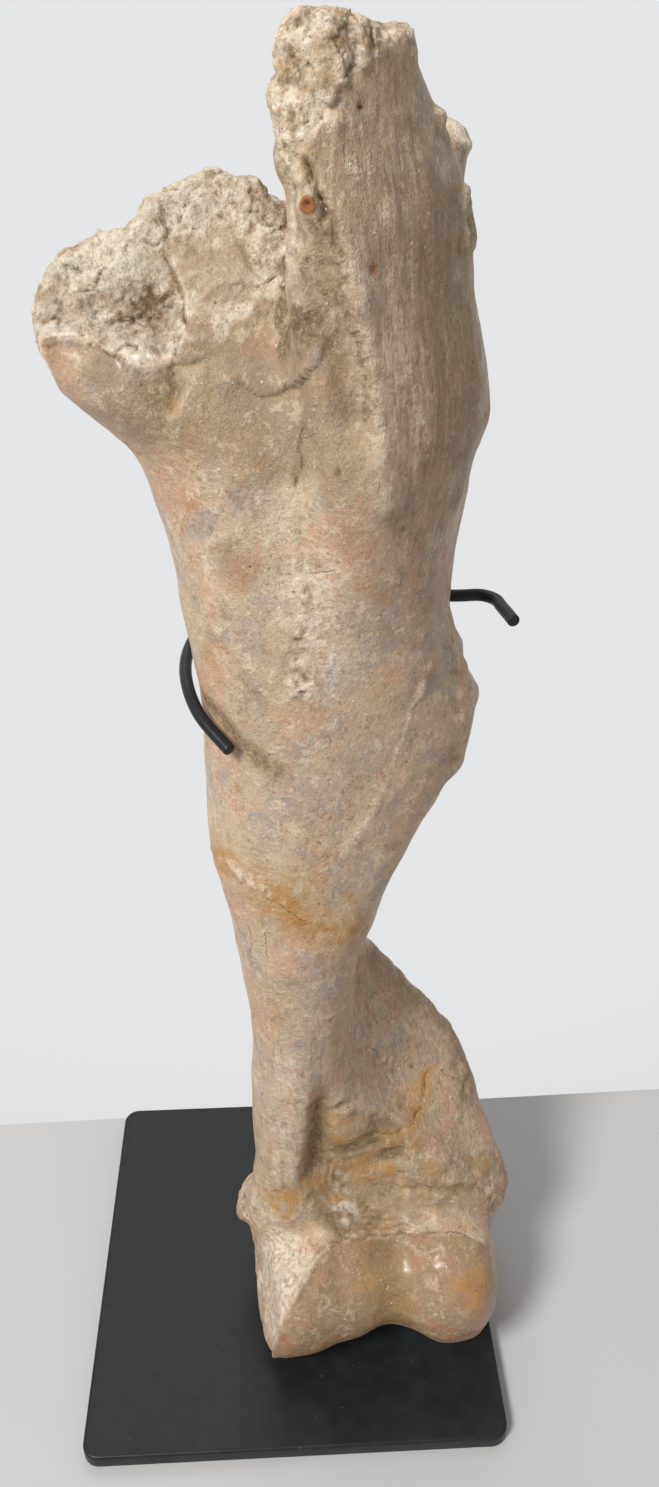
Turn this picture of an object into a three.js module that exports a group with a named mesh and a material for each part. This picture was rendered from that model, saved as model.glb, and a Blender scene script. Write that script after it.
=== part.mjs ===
// A fossil rhinoceros humerus, the left upper foreleg bone, standing on a black steel mount.
// Millimetres, +Z up. The front of the bone faces -Y and its outer side is at +X.
// The origin is the middle of the underside of the base plate.

import * as THREE from 'three';

// Driving dimensions of the mount.
const PLATE_WIDTH = 152.4;
const PLATE_THICKNESS = 6.35;
const PLATE_CORNER_RADIUS = 6;
const PLATE_EDGE_EASE = 1;
const POST_RADIUS = 4;
const POST_X = 10;
const POST_Y = 41;
const ROD_RADIUS = 1.75;
const CLEARANCE = 0.3;

// The two arms, from the post outwards: both pass behind the bone, and the left one curls
// round its inner side and lies on its front.
const ARM_START = POST_RADIUS + 1.2;
const LEFT_ARM = [
  [POST_X - ARM_START, POST_Y, 284], [-9, 36, 284], [-20, 23, 283],
  [-24.8, 9, 281], [-24.9, -6, 279.5], [-20.8, -20, 276], [-12.4, -31, 271],
];
const RIGHT_ARM = [
  [POST_X + ARM_START, POST_Y, 296], [26, 31, 296], [35, 16.5, 296],
  [44, 10, 296], [52, 9, 296], [59, 9, 296], [62.3, 6, 296], [63.3, 1, 296], [65, -8.5, 296],
];

// Driving dimensions of the bone. Heights are above the table that the plate stands on.
const FOOT = PLATE_THICKNESS + CLEARANCE;
const CROWN = 435.5;
const TROCHLEA_RADIUS = 30;
const TROCHLEA_Y = -27.5;
const HEAD_RADIUS = 36;

// Spacing of the mesh on the bone, finer where its ends are more shaped than its shaft.
const CELL = 5.6;
const SHAFT_CELL_HEIGHT = 9.5;
const SHAFT_FROM = 118;
const SHAFT_TO = 322;

// Widths of the fillets between forms, from a broad flare to a crisp edge.
const BROAD = 15;
const SOFT = 9;
const FIRM = 5;
const CRISP = 2;

const degrees = THREE.MathUtils.degToRad;
const clamp01 = (t) => Math.min(1, Math.max(0, t));
const mix = (a, b, t) => a + (b - a) * t;

// Each form below is a function of a point that gives its distance from the form's surface,
// less than nothing inside. Two forms join, or one is carved from another, with a soft fillet.
const join = (a, b, fillet) => {
  const h = Math.max(fillet - Math.abs(a - b), 0) / fillet;
  return Math.min(a, b) - h * h * fillet * 0.25;
};
const carve = (a, b, fillet) => -join(-a, b, fillet);

const ellipsoid = (x, y, z, rx, ry, rz, turn = 0) => {
  const c = Math.cos(degrees(turn));
  const s = Math.sin(degrees(turn));
  return (px, py, pz) => {
    const dx = px - x;
    const dy = py - y;
    const u = (c * dx + s * dy) / rx;
    const v = (c * dy - s * dx) / ry;
    const w = (pz - z) / rz;
    const near = Math.hypot(u, v, w);
    const slope = Math.hypot(u / rx, v / ry, w / rz);
    return slope > 1e-9 ? (near * (near - 1)) / slope : -Math.min(rx, ry, rz);
  };
};

// A ridge or a rounded limb through stations [x, y, z, radius].
const limb = (stations) => (px, py, pz) => {
  let best = Infinity;
  for (let i = 1; i < stations.length; i += 1) {
    const [ax, ay, az, ar] = stations[i - 1];
    const [bx, by, bz, br] = stations[i];
    const ex = bx - ax;
    const ey = by - ay;
    const ez = bz - az;
    const along = (px - ax) * ex + (py - ay) * ey + (pz - az) * ez;
    const t = clamp01(along / (ex * ex + ey * ey + ez * ez));
    const away = Math.hypot(px - ax - t * ex, py - ay - t * ey, pz - az - t * ez);
    best = Math.min(best, away - mix(ar, br, t));
  }
  return best;
};

// A body whose level sections are ellipses, through stations from the bottom up:
// [height, centre x, centre y, half width, half depth, turn of the width in degrees].
const loft = (stations) => {
  const at = (z) => {
    const last = stations.length - 1;
    let i = 0;
    while (i < last - 1 && z > stations[i + 1][0]) i += 1;
    const [a, b] = [stations[i], stations[i + 1]];
    const before = stations[Math.max(i - 1, 0)];
    const after = stations[Math.min(i + 2, last)];
    const t = clamp01((z - a[0]) / (b[0] - a[0]));
    return a.map((value, k) => {
      const run = b[0] - a[0];
      const rise = ((b[k] - before[k]) / (b[0] - before[0])) * run;
      const leave = ((after[k] - value) / (after[0] - a[0])) * run;
      const [t2, t3] = [t * t, t * t * t];
      return (2 * t3 - 3 * t2 + 1) * value + (t3 - 2 * t2 + t) * rise
        + (3 * t2 - 2 * t3) * b[k] + (t3 - t2) * leave;
    });
  };
  const [low, high] = [stations[0][0], stations[stations.length - 1][0]];
  return (px, py, pz) => {
    const [, x, y, rx, ry, turn] = at(pz);
    const c = Math.cos(degrees(turn));
    const s = Math.sin(degrees(turn));
    const u = (c * (px - x) + s * (py - y)) / rx;
    const v = (c * (py - y) - s * (px - x)) / ry;
    const near = Math.hypot(u, v);
    const slope = Math.hypot(u / rx, v / ry);
    const side = slope > 1e-9 ? (near * (near - 1)) / slope : -Math.min(rx, ry);
    return carve(side, -Math.max(pz - high, low - pz), SOFT);
  };
};

// The half space on the side of a plane that its normal points away from.
const below = (x, y, z, nx, ny, nz) => {
  const length = Math.hypot(nx, ny, nz);
  return (px, py, pz) => ((px - x) * nx + (py - y) * ny + (pz - z) * nz) / length;
};

// The shaft, from above the elbow to the broad, flattened top.
const shaft = loft([
  [34, 33, -10, 40, 19, 0],
  [60, 31, -9, 41, 18, 0],
  [80, 26, -9, 33, 17, 0],
  [100, 17, -9, 27, 17, 0],
  [125, 8, -10, 19, 19, 0],
  [150, 5, -11, 16.5, 20, 0],
  [175, 5, -11, 18.5, 21, 0],
  [200, 5.5, -11, 22, 22, 0],
  [225, 5.5, -10, 26.5, 23, 0],
  [250, 8, -9, 29, 24.5, 0],
  [275, 8.5, -8, 29.5, 26, 0],
  [300, 7.5, -7, 31.5, 26.5, 0],
  [320, 6, -5, 32, 28, 0],
  [340, 2, -3, 34.5, 29, 0],
  [362, -2, 0, 41, 30, 0],
  [388, -4, 2, 40, 30, 0],
]);

// The outer plate: the greater tubercle at the top, the crest below it and its deltoid bump.
const outerPlate = loft([
  [196, 16, -17, 10, 9, 40],
  [215, 21, -17, 12, 10, 42],
  [235, 30, -14, 15, 11, 45],
  [250, 37, -10, 20, 12, 45],
  [268, 40, -8, 22, 13, 45],
  [290, 33, -12, 21, 13, 48],
  [310, 30, -14, 23, 13, 50],
  [335, 31, -16, 28, 14, 52],
  [355, 32, -17, 31, 15, 52],
  [380, 27, -17, 30, 14.5, 50],
  [400, 26, -17, 29, 13.5, 50],
  [418, 21, -19, 24, 12, 48],
  [438, 17, -23, 15, 9.5, 46],
]);
const crownSlope = below(28, -10, 430, 0.72, 0.25, 0.55);
const crownTop = below(12, -25, CROWN, 0.16, 0.1, 1);
const backRidge = limb([[26, 14, 372, 15], [36, 17, 393, 12], [42, 19, 407, 7.5]]);

// The inner mass: what is left of the lesser tubercle, its top and front broken away.
const innerMass = ellipsoid(-27, -6, 372, 26.5, 27, 22);
const innerCrown = ellipsoid(-11, -2, 386, 18, 18, 18.5);
const brokenFront = below(-20, -31, 358, 0, -0.87, 0.5);
const head = ellipsoid(-5, 26, 362, HEAD_RADIUS, HEAD_RADIUS, HEAD_RADIUS - 2);
const neck = limb([[4, 2, 285, 14], [0, 10, 330, 24]]);
const bicepsGroove = limb([[2, -52, 420, 19], [4, -56, 372, 22], [8, -58, 330, 20]]);

// The elbow end: two columns, two epicondyles and the thin crest that flares to the outside.
const innerColumn = limb([[1, -15, 130, 11], [0, -14, 90, 12], [-2, -14, 60, 14]]);
const innerEpicondyle = limb([[-4, -10, 44, 12], [-13, -2, 46, 9]]);
const innerHeel = limb([[4, 0, 92, 10], [0, 16, 62, 12], [0, 24, 44, 13]]);
const outerColumn = limb([[22, -6, 105, 12], [52, -6, 78, 13], [66, -8, 54, 14]]);
const outerHeel = limb([[48, 6, 96, 8], [62, 14, 64, 10], [65, 20, 47, 11]]);
const crestEdge = limb([
  [20, 4, 178, 5], [42, 14, 139, 5], [58, 14, 114, 6], [63, 9, 92, 8], [72, -5, 58, 11],
]);
const crestWeb = limb([[12, -2, 150, 13], [40, 6, 118, 8], [54, 6, 96, 9]]);
const fossaFront = ellipsoid(31, -37, 83, 25, 18, 21);
const fossaBack = ellipsoid(32, 30, 70, 19, 30, 32);

// The pulley that the forearm turns on: a wide inner cone, a groove and a ball at the outside.
const TROCHLEA_PROFILE = [
  [-14, 28], [-8, TROCHLEA_RADIUS], [4, 28.6], [20, 24.5], [36, 19.4],
  [44, 21.5], [50, 25.5], [57, 27.2], [66, 25.8], [73, 20], [77, 9],
];
const trochleaZ = FOOT + TROCHLEA_RADIUS;
const trochlea = (px, py, pz) => {
  const last = TROCHLEA_PROFILE.length - 1;
  let i = 0;
  while (i < last - 1 && px > TROCHLEA_PROFILE[i + 1][0]) i += 1;
  const [ax, ar] = TROCHLEA_PROFILE[i];
  const [bx, br] = TROCHLEA_PROFILE[i + 1];
  const t = clamp01((px - ax) / (bx - ax));
  const ease = t * t * (3 - 2 * t);
  const around = Math.hypot(py - TROCHLEA_Y, pz - trochleaZ) - mix(ar, br, ease);
  const ends = Math.max(TROCHLEA_PROFILE[0][0] - px, px - TROCHLEA_PROFILE[last][0]);
  return carve(around, -ends, FIRM);
};
const innerBoss = ellipsoid(2, -22, 36, 26, 26, 26);
const innerFace = below(-8, -54, 22, -0.97, -0.17, 0.17);
const innerSlope = below(-3, -51.5, 53, -0.53, 0, 0.85);

const proximalEnd = (x, y, z) => {
  let end = join(shaft(x, y, z), innerMass(x, y, z), SOFT);
  end = join(end, innerCrown(x, y, z), SOFT);
  end = join(end, neck(x, y, z), BROAD);
  end = join(end, head(x, y, z), BROAD);
  end = carve(end, -brokenFront(x, y, z), FIRM);
  end = carve(end, bicepsGroove(x, y, z), BROAD);
  let plate = carve(outerPlate(x, y, z), -crownSlope(x, y, z), FIRM);
  plate = carve(plate, -crownTop(x, y, z), FIRM);
  end = join(end, plate, SOFT);
  return join(end, backRidge(x, y, z), SOFT);
};

const elbowColumns = (x, y, z) => {
  let end = join(innerColumn(x, y, z), outerColumn(x, y, z), SOFT);
  end = join(end, innerEpicondyle(x, y, z), SOFT);
  end = join(end, innerHeel(x, y, z), SOFT);
  end = join(end, outerHeel(x, y, z), SOFT);
  end = join(end, crestEdge(x, y, z), SOFT);
  return join(end, crestWeb(x, y, z), BROAD);
};

const pulley = (x, y, z) => {
  let form = join(trochlea(x, y, z), innerBoss(x, y, z), FIRM);
  form = carve(form, -innerFace(x, y, z), CRISP);
  return carve(form, -innerSlope(x, y, z), CRISP);
};

const bone = (x, y, z) => {
  let whole = join(proximalEnd(x, y, z), elbowColumns(x, y, z), SOFT);
  whole = carve(whole, fossaFront(x, y, z), SOFT);
  whole = carve(whole, fossaBack(x, y, z), SOFT);
  return join(whole, pulley(x, y, z), FIRM);
};

// Grid lines along one axis, closer or wider in each stretch of [from, to, spacing].
const gridLines = (stretches) => {
  const lines = [];
  for (const [from, to, spacing] of stretches) {
    const count = Math.round((to - from) / spacing);
    for (let i = 0; i < count; i += 1) lines.push(from + ((to - from) * i) / count);
  }
  lines.push(stretches[stretches.length - 1][1]);
  return lines;
};

// Moves a point onto the form's surface, straight down the slope of its distance.
const settle = (form, point, reach) => {
  const step = 0.5;
  const rounds = 4;
  const start = point.slice();
  for (let i = 0; i < rounds; i += 1) {
    const [x, y, z] = point;
    const value = form(x, y, z);
    const slope = [
      (form(x + step, y, z) - form(x - step, y, z)) / (2 * step),
      (form(x, y + step, z) - form(x, y - step, z)) / (2 * step),
      (form(x, y, z + step) - form(x, y, z - step)) / (2 * step),
    ];
    const steep = slope[0] ** 2 + slope[1] ** 2 + slope[2] ** 2;
    if (steep < 1e-6) break;
    for (let k = 0; k < 3; k += 1) {
      const moved = point[k] - (value * slope[k]) / steep;
      point[k] = THREE.MathUtils.clamp(moved, start[k] - reach, start[k] + reach);
    }
  }
  return point;
};

// Evens out the mesh: each vertex goes half way to the middle of its neighbours, then back
// onto the surface.
const relax = (form, positions, faces, rounds) => {
  const neighbours = positions.map(() => new Set());
  for (let i = 0; i < faces.length; i += 3) {
    const corners = [faces[i], faces[i + 1], faces[i + 2]];
    for (const a of corners) for (const b of corners) if (a !== b) neighbours[a].add(b);
  }
  for (let round = 0; round < rounds; round += 1) {
    const moved = positions.map((point, at) => point.map((value, k) => {
      let sum = 0;
      for (const other of neighbours[at]) sum += positions[other][k];
      return mix(value, sum / neighbours[at].size, 0.5);
    }));
    moved.forEach((point, at) => {
      positions[at] = settle(form, point, CELL * 0.3);
    });
  }
};

// The form's value at every crossing of the grid lines.
const sampleGrid = (form, xs, ys, zs) => {
  const [nx, ny, nz] = [xs.length, ys.length, zs.length];
  const index = (i, j, k) => (k * ny + j) * nx + i;
  const values = new Float64Array(nx * ny * nz);
  for (let k = 0; k < nz; k += 1) {
    for (let j = 0; j < ny; j += 1) {
      for (let i = 0; i < nx; i += 1) values[index(i, j, k)] = form(xs[i], ys[j], zs[k]);
    }
  }
  const inside = (i, j, k) => values[index(i, j, k)] < 0;
  return { xs, ys, zs, values, index, inside };
};

// The twelve edges of a grid cell, each between two corners of [0 or 1, 0 or 1, 0 or 1].
const cellEdges = () => {
  const cornerOf = (c) => [c & 1, (c >> 1) & 1, c >> 2];
  const edges = [];
  for (let c = 0; c < 8; c += 1) {
    for (const bit of [1, 2, 4]) {
      if (!(c & bit)) edges.push([cornerOf(c), cornerOf(c | bit)]);
    }
  }
  return edges;
};
const CELL_EDGES = cellEdges();

// The middle of the points where the surface crosses a cell's edges, or nothing.
const cellPoint = (grid, i, j, k) => {
  const sum = [0, 0, 0];
  let crossings = 0;
  for (const [a, b] of CELL_EDGES) {
    const va = grid.values[grid.index(i + a[0], j + a[1], k + a[2])];
    const vb = grid.values[grid.index(i + b[0], j + b[1], k + b[2])];
    if (va < 0 === vb < 0) continue;
    const t = va / (va - vb);
    sum[0] += mix(grid.xs[i + a[0]], grid.xs[i + b[0]], t);
    sum[1] += mix(grid.ys[j + a[1]], grid.ys[j + b[1]], t);
    sum[2] += mix(grid.zs[k + a[2]], grid.zs[k + b[2]], t);
    crossings += 1;
  }
  return crossings > 0 ? sum.map((value) => value / crossings) : null;
};

// One vertex in each cell that the surface crosses, and where each cell's vertex is listed.
const cellVertices = (form, grid) => {
  const positions = [];
  const vertexAt = new Map();
  for (let k = 0; k < grid.zs.length - 1; k += 1) {
    for (let j = 0; j < grid.ys.length - 1; j += 1) {
      for (let i = 0; i < grid.xs.length - 1; i += 1) {
        const point = cellPoint(grid, i, j, k);
        if (!point) continue;
        vertexAt.set(grid.index(i, j, k), positions.length);
        positions.push(settle(form, point, CELL * 0.45));
      }
    }
  }
  return { positions, vertexAt };
};

// Two triangles between four cells' vertices, split along the shorter diagonal.
const quad = (positions, [a, b, c, d], flip) => {
  const apart = (p, q) => Math.hypot(...positions[p].map((value, k) => value - positions[q][k]));
  const pair = apart(a, c) < apart(b, d) ? [[a, b, c], [a, c, d]] : [[a, b, d], [b, c, d]];
  return pair.flatMap((face) => (flip ? face.reverse() : face));
};

// A closed mesh of the form: one quad round each grid edge that the surface crosses.
const skin = (form, xs, ys, zs) => {
  const grid = sampleGrid(form, xs, ys, zs);
  const { positions, vertexAt } = cellVertices(form, grid);
  const faces = [];
  const around = (i, j, k, [ux, uy, uz], [vx, vy, vz], flip) => {
    const corners = [
      grid.index(i - ux - vx, j - uy - vy, k - uz - vz),
      grid.index(i - vx, j - vy, k - vz),
      grid.index(i, j, k),
      grid.index(i - ux, j - uy, k - uz),
    ].map((cell) => vertexAt.get(cell));
    faces.push(...quad(positions, corners, flip));
  };
  for (let k = 1; k < zs.length - 1; k += 1) {
    for (let j = 1; j < ys.length - 1; j += 1) {
      for (let i = 1; i < xs.length - 1; i += 1) {
        const here = grid.inside(i, j, k);
        if (here !== grid.inside(i + 1, j, k)) around(i, j, k, [0, 1, 0], [0, 0, 1], !here);
        if (here !== grid.inside(i, j + 1, k)) around(i, j, k, [0, 0, 1], [1, 0, 0], !here);
        if (here !== grid.inside(i, j, k + 1)) around(i, j, k, [1, 0, 0], [0, 1, 0], !here);
      }
    }
  }
  relax(form, positions, faces, 3);
  const geometry = new THREE.BufferGeometry();
  geometry.setAttribute('position', new THREE.Float32BufferAttribute(positions.flat(), 3));
  geometry.setIndex(faces);
  return geometry;
};

// The bone, meshed in a box that stands clear of it on every side.
const boneGeometry = () => {
  const xs = gridLines([[-62.7, 97.3, CELL]]);
  const ys = gridLines([[-68, 72, CELL]]);
  const zs = gridLines([
    [0, SHAFT_FROM, CELL], [SHAFT_FROM, SHAFT_TO, SHAFT_CELL_HEIGHT], [SHAFT_TO, 444, CELL],
  ]);
  return skin(bone, xs, ys, zs);
};

const plateGeometry = () => {
  const half = PLATE_WIDTH / 2 - PLATE_EDGE_EASE;
  const corner = PLATE_CORNER_RADIUS - PLATE_EDGE_EASE;
  const outline = new THREE.Shape();
  outline.moveTo(-half + corner, -half);
  outline.lineTo(half - corner, -half);
  outline.absarc(half - corner, -half + corner, corner, -Math.PI / 2, 0);
  outline.absarc(half - corner, half - corner, corner, 0, Math.PI / 2);
  outline.absarc(-half + corner, half - corner, corner, Math.PI / 2, Math.PI);
  outline.absarc(-half + corner, -half + corner, corner, Math.PI, Math.PI * 1.5);
  const geometry = new THREE.ExtrudeGeometry(outline, {
    depth: PLATE_THICKNESS - 2 * PLATE_EDGE_EASE,
    bevelEnabled: true,
    bevelThickness: PLATE_EDGE_EASE,
    bevelSize: PLATE_EDGE_EASE,
    bevelSegments: 1,
    curveSegments: 5,
  });
  return geometry.translate(0, 0, PLATE_EDGE_EASE);
};

const postGeometry = () => {
  const bottom = FOOT;
  const top = RIGHT_ARM[0][2] + 2 * ROD_RADIUS;
  const geometry = new THREE.CylinderGeometry(POST_RADIUS, POST_RADIUS, top - bottom, 20);
  return geometry.rotateX(Math.PI / 2).translate(POST_X, POST_Y, (bottom + top) / 2);
};

// A bent rod: a round section drawn along a smooth curve through the arm's points.
const armGeometry = (points) => {
  const path = new THREE.CatmullRomCurve3(points.map((p) => new THREE.Vector3(...p)));
  path.curveType = 'centripetal';
  const section = new THREE.Shape();
  section.absarc(0, 0, ROD_RADIUS, 0, Math.PI * 2);
  return new THREE.ExtrudeGeometry(section, {
    extrudePath: path, steps: 26, curveSegments: 5, bevelEnabled: false,
  });
};

const material = (color, roughness, metalness) => new THREE.MeshStandardMaterial({
  color, roughness, metalness,
});
const fossilBone = material('#c9ae90', 0.75, 0);
const blackPaint = material('#17181a', 0.55, 0.2);

const part = new THREE.Group();
const place = (name, geometry, finish) => {
  const mesh = new THREE.Mesh(geometry, finish);
  mesh.name = name;
  part.add(mesh);
};

place('bone', boneGeometry(), fossilBone);
place('base_plate', plateGeometry(), blackPaint);
place('post', postGeometry(), blackPaint);
place('left_arm', armGeometry(LEFT_ARM), blackPaint);
place('right_arm', armGeometry(RIGHT_ARM), blackPaint);

export default part;
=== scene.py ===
"""A fossil rhinoceros humerus on its black steel mount, set up for a studio picture.

Shapes are worked out in millimetres, and meshes are stored in metres.
+Z is up, -Y is the front of the bone and +X its outer side.
"""

import math

import bmesh
import bpy
import numpy as np
from mathutils import Euler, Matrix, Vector
from mathutils.bvhtree import BVHTree


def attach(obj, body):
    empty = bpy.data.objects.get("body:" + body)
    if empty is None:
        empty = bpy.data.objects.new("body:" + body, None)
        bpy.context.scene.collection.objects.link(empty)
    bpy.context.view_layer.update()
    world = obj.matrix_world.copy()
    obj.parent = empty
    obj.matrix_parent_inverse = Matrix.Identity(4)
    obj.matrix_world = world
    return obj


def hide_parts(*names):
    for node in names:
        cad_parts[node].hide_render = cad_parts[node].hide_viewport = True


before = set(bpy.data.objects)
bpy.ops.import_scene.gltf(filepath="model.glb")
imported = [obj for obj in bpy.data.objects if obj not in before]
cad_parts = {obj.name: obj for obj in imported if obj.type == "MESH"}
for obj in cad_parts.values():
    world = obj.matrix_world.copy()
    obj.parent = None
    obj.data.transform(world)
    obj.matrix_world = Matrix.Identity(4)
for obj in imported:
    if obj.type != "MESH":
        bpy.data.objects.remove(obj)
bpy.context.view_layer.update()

MM = 0.001

# The picture: its size, its camera and what the camera stands and looks at.
PICTURE_WIDE, PICTURE_HIGH = 659, 1487
FOCAL = 1116.47
CAMERA_PLACE = np.array([1.78, -280.19, 428.15])
CAMERA_DOWN = 31.95
CAMERA_RIGHT = 2.75
SENSOR = 36.0

# The mount, as the solid model has it.
PLATE_WIDTH = 152.4
PLATE_THICKNESS = 6.35
PLATE_CORNER = 6.0
PLATE_EDGE = 1.1
POST_RADIUS = 4.0
POST_X, POST_Y = 10.0, 41.0
POST_TOP = 299.5
POST_END_EASE = 0.9
ROD_RADIUS = 1.75
ROD_END_EASE = 0.7
LEFT_ARM = [
    (4.8, 41, 284), (-9, 36, 284), (-20, 23, 283), (-24.8, 9, 281),
    (-24.9, -6, 279.5), (-20.8, -20, 276), (-12.4, -31, 271)]
RIGHT_ARM = [
    (15.2, 41, 296), (26, 31, 296), (35, 16.5, 296), (44, 10, 296), (52, 9, 296),
    (59, 9, 296), (62.3, 6, 296), (63.3, 1, 296), (65, -8.5, 296)]

# Its welds: how wide an arm's bead is along its run and which of the arm's rings it points
# at, and the bead round the post's foot.
ARM_BEAD = [2.9, 3.3, 3.4, 3.2, 2.9, 2.6, 2.3, 2.0, 1.8]
ARM_BEAD_START, ARM_BEAD_END = POST_RADIUS - 1.6, 7.4
ARM_BEAD_AIM = 6
FOOT_BEAD_HIGH, FOOT_BEAD_WIDE, FOOT_BEAD_SINK = 3.4, 3.2, 0.2
FOOT_BEAD_BEND = 1.7
WELD_LUMPS = 0.35

# How finely the mount is divided, round and along.
CORNER_STEPS, EDGE_STEPS, END_STEPS = 8, 6, 6
ROD_SIDES, WELD_SIDES = 28, 30
POST_RINGS, ROD_RINGS, WELD_RINGS = 40, 90, 9
CURVE_STEPS = 40

# What the bone's finish reads from its skin. The last two draw its cracks.
MARKS = ["broken", "pale", "shade", "grey", "rust", "chalk", "plug", "polish", "grain",
         "brown", "red", "crack_near", "crack_side"]

# The bone's mesh size, before it is halved where the picture shows it closely, how often it
# is evened out at first and after each halving, and the air left between bone and plate.
MESH_SIZE = 1.8
FIRST_EVENING, LATER_EVENING = 22, 2
STEP_IN, STEP_OUT = 0.5, -0.52
PLATE_GAP = 0.15


def clamp(value, low=0.0, high=1.0):
    return np.minimum(np.maximum(value, low), high)


def rise(value, low, high):
    """0 below low, 1 above high, and a smooth slope between."""
    t = clamp((value - low) / (high - low))
    return t * t * (3 - 2 * t)


def bell(distance, reach):
    """1 at no distance, falling smoothly to 0 at the reach."""
    return rise(reach - distance, 0, reach)


# ---- random fields over the bone, the same on every run


def toss(i, j, k, seed):
    """A random number from 0 to 1 for each place of a lattice."""
    h = (i * 73856093) ^ (j * 19349663) ^ (k * 83492791) ^ (seed * 40503001)
    h &= 0xFFFFFFFF
    h = ((h ^ (h >> 13)) * 1274126177) & 0xFFFFFFFF
    h ^= h >> 16
    return (h & 0xFFFF) / 0xFFFF


def swell(points, size, seed=0):
    """Smooth random values from -1 to 1 that change over `size` millimetres."""
    grid = np.asarray(points) / size
    base = np.floor(grid).astype(np.int64)
    t = grid - base
    t = t * t * t * (t * (t * 6 - 15) + 10)
    total = 0
    for dx in (0, 1):
        wx = t[:, 0] if dx else 1 - t[:, 0]
        for dy in (0, 1):
            wy = t[:, 1] if dy else 1 - t[:, 1]
            for dz in (0, 1):
                wz = t[:, 2] if dz else 1 - t[:, 2]
                corner = toss(base[:, 0] + dx, base[:, 1] + dy, base[:, 2] + dz, seed)
                total = total + wx * wy * wz * corner
    return total * 2 - 1


def rough(points, size, layers, seed=0):
    """Swells of halving size and height on top of each other."""
    total, height = 0, 1.0
    for layer in range(layers):
        total = total + height * swell(points, size / 2**layer, seed + layer)
        height *= 0.5
    return total


def cells(points, size, seed=0):
    """Scattered points `size` millimetres apart: distance to the nearest in cell sizes, and
    a random tilted height for the cell round each."""
    grid = np.asarray(points) / size
    base = np.floor(grid).astype(np.int64)
    near = np.full(len(grid), 9.0)
    height = np.zeros(len(grid))
    for dx in (-1, 0, 1):
        for dy in (-1, 0, 1):
            for dz in (-1, 0, 1):
                i, j, k = base[:, 0] + dx, base[:, 1] + dy, base[:, 2] + dz
                chance = [toss(i, j, k, seed + n) for n in range(6)]
                off = grid - np.stack([i + chance[0], j + chance[1], k + chance[2]], 1)
                away = np.linalg.norm(off, axis=1)
                tilt = sum(off[:, n] * (chance[3 + n] - 0.5) for n in range(3))
                height = np.where(away < near, 2 * chance[5] - 1 + 2.4 * tilt, height)
                near = np.minimum(near, away)
    return near, height


# ---- the camera's geometry, for putting marks where the picture shows them

camera_turn = Euler((math.radians(90 - CAMERA_DOWN), 0, math.radians(-CAMERA_RIGHT)))
camera_axes = np.array(camera_turn.to_matrix())


def in_picture(points):
    """Where points land in the picture, and how far in front of the camera they are."""
    local = (points - CAMERA_PLACE) @ camera_axes
    depth = -local[:, 2]
    across = PICTURE_WIDE / 2 + FOCAL * local[:, 0] / depth
    down = PICTURE_HIGH / 2 - FOCAL * local[:, 1] / depth
    return np.stack([across, down], 1), depth


def sight_line(across, down):
    """The way from the camera to the picture's place (across, down)."""
    return camera_axes @ [(across - PICTURE_WIDE / 2) / FOCAL,
                          (PICTURE_HIGH / 2 - down) / FOCAL, -1.0]


# ---- meshes


def new_object(name, mesh):
    made = bpy.data.objects.new(name, mesh)
    bpy.context.scene.collection.objects.link(made)
    return made


def read(items, field, width, kind=np.float64):
    """One field of all items of a mesh, a row for each."""
    flat = np.empty(len(items) * width, kind)
    items.foreach_get(field, flat)
    return flat.reshape(-1, width)


def mesh_points(mesh):
    return read(mesh.vertices, "co", 3) / MM


def mesh_edges(mesh):
    return read(mesh.edges, "vertices", 2, np.int64)


def put_points(mesh, points):
    mesh.vertices.foreach_set("co", (points * MM).astype(np.float32).ravel())
    mesh.update()


def neighbour_mean(edges, values):
    """Each point's mean of its neighbours' values."""
    count = len(values)
    flat = values.reshape(count, -1)
    a, b = edges[:, 0], edges[:, 1]
    degree = np.bincount(a, minlength=count) + np.bincount(b, minlength=count)
    total = np.stack([
        np.bincount(a, flat[b, k], count) + np.bincount(b, flat[a, k], count)
        for k in range(flat.shape[1])
    ], 1)
    return (total / degree[:, None]).reshape(values.shape)


def even_out(mesh, rounds):
    """Smooths a mesh without shrinking its shape: each round steps in, then out."""
    edges, points = mesh_edges(mesh), mesh_points(mesh)
    for _ in range(rounds):
        for share in (STEP_IN, STEP_OUT):
            points = points + share * (neighbour_mean(edges, points) - points)
    put_points(mesh, points)


def rough_bone():
    """The solid model's bone with an even, fine mesh."""
    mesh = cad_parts["bone"].data.copy()
    work = bmesh.new()
    work.from_mesh(mesh)
    bmesh.ops.remove_doubles(work, verts=work.verts, dist=1e-6)
    work.to_mesh(mesh)
    work.free()
    mesh.materials.clear()
    made = new_object("humerus", mesh)
    smooth = made.modifiers.new("smooth", "SUBSURF")
    smooth.levels = smooth.render_levels = 2
    even = made.modifiers.new("even", "REMESH")
    even.mode = "VOXEL"
    even.voxel_size = MESH_SIZE * MM
    view = bpy.context.evaluated_depsgraph_get()
    mesh = bpy.data.meshes.new_from_object(made.evaluated_get(view))
    made.modifiers.clear()
    made.data = mesh
    even_out(mesh, FIRST_EVENING)
    return made


def refine(mesh, wanted):
    """Halves the mesh where `wanted` says so, for each point, and evens it out."""
    work = bmesh.new()
    work.from_mesh(mesh)
    work.verts.ensure_lookup_table()
    edges = [e for e in work.edges if wanted[e.verts[0].index] and wanted[e.verts[1].index]]
    bmesh.ops.subdivide_edges(work, edges=edges, cuts=1, use_grid_fill=True)
    bmesh.ops.triangulate(work, faces=[f for f in work.faces if len(f.verts) != 4])
    work.to_mesh(mesh)
    work.free()
    mesh.update()
    even_out(mesh, LATER_EVENING)


# ---- the bone's skin, while it is being shaped


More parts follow.
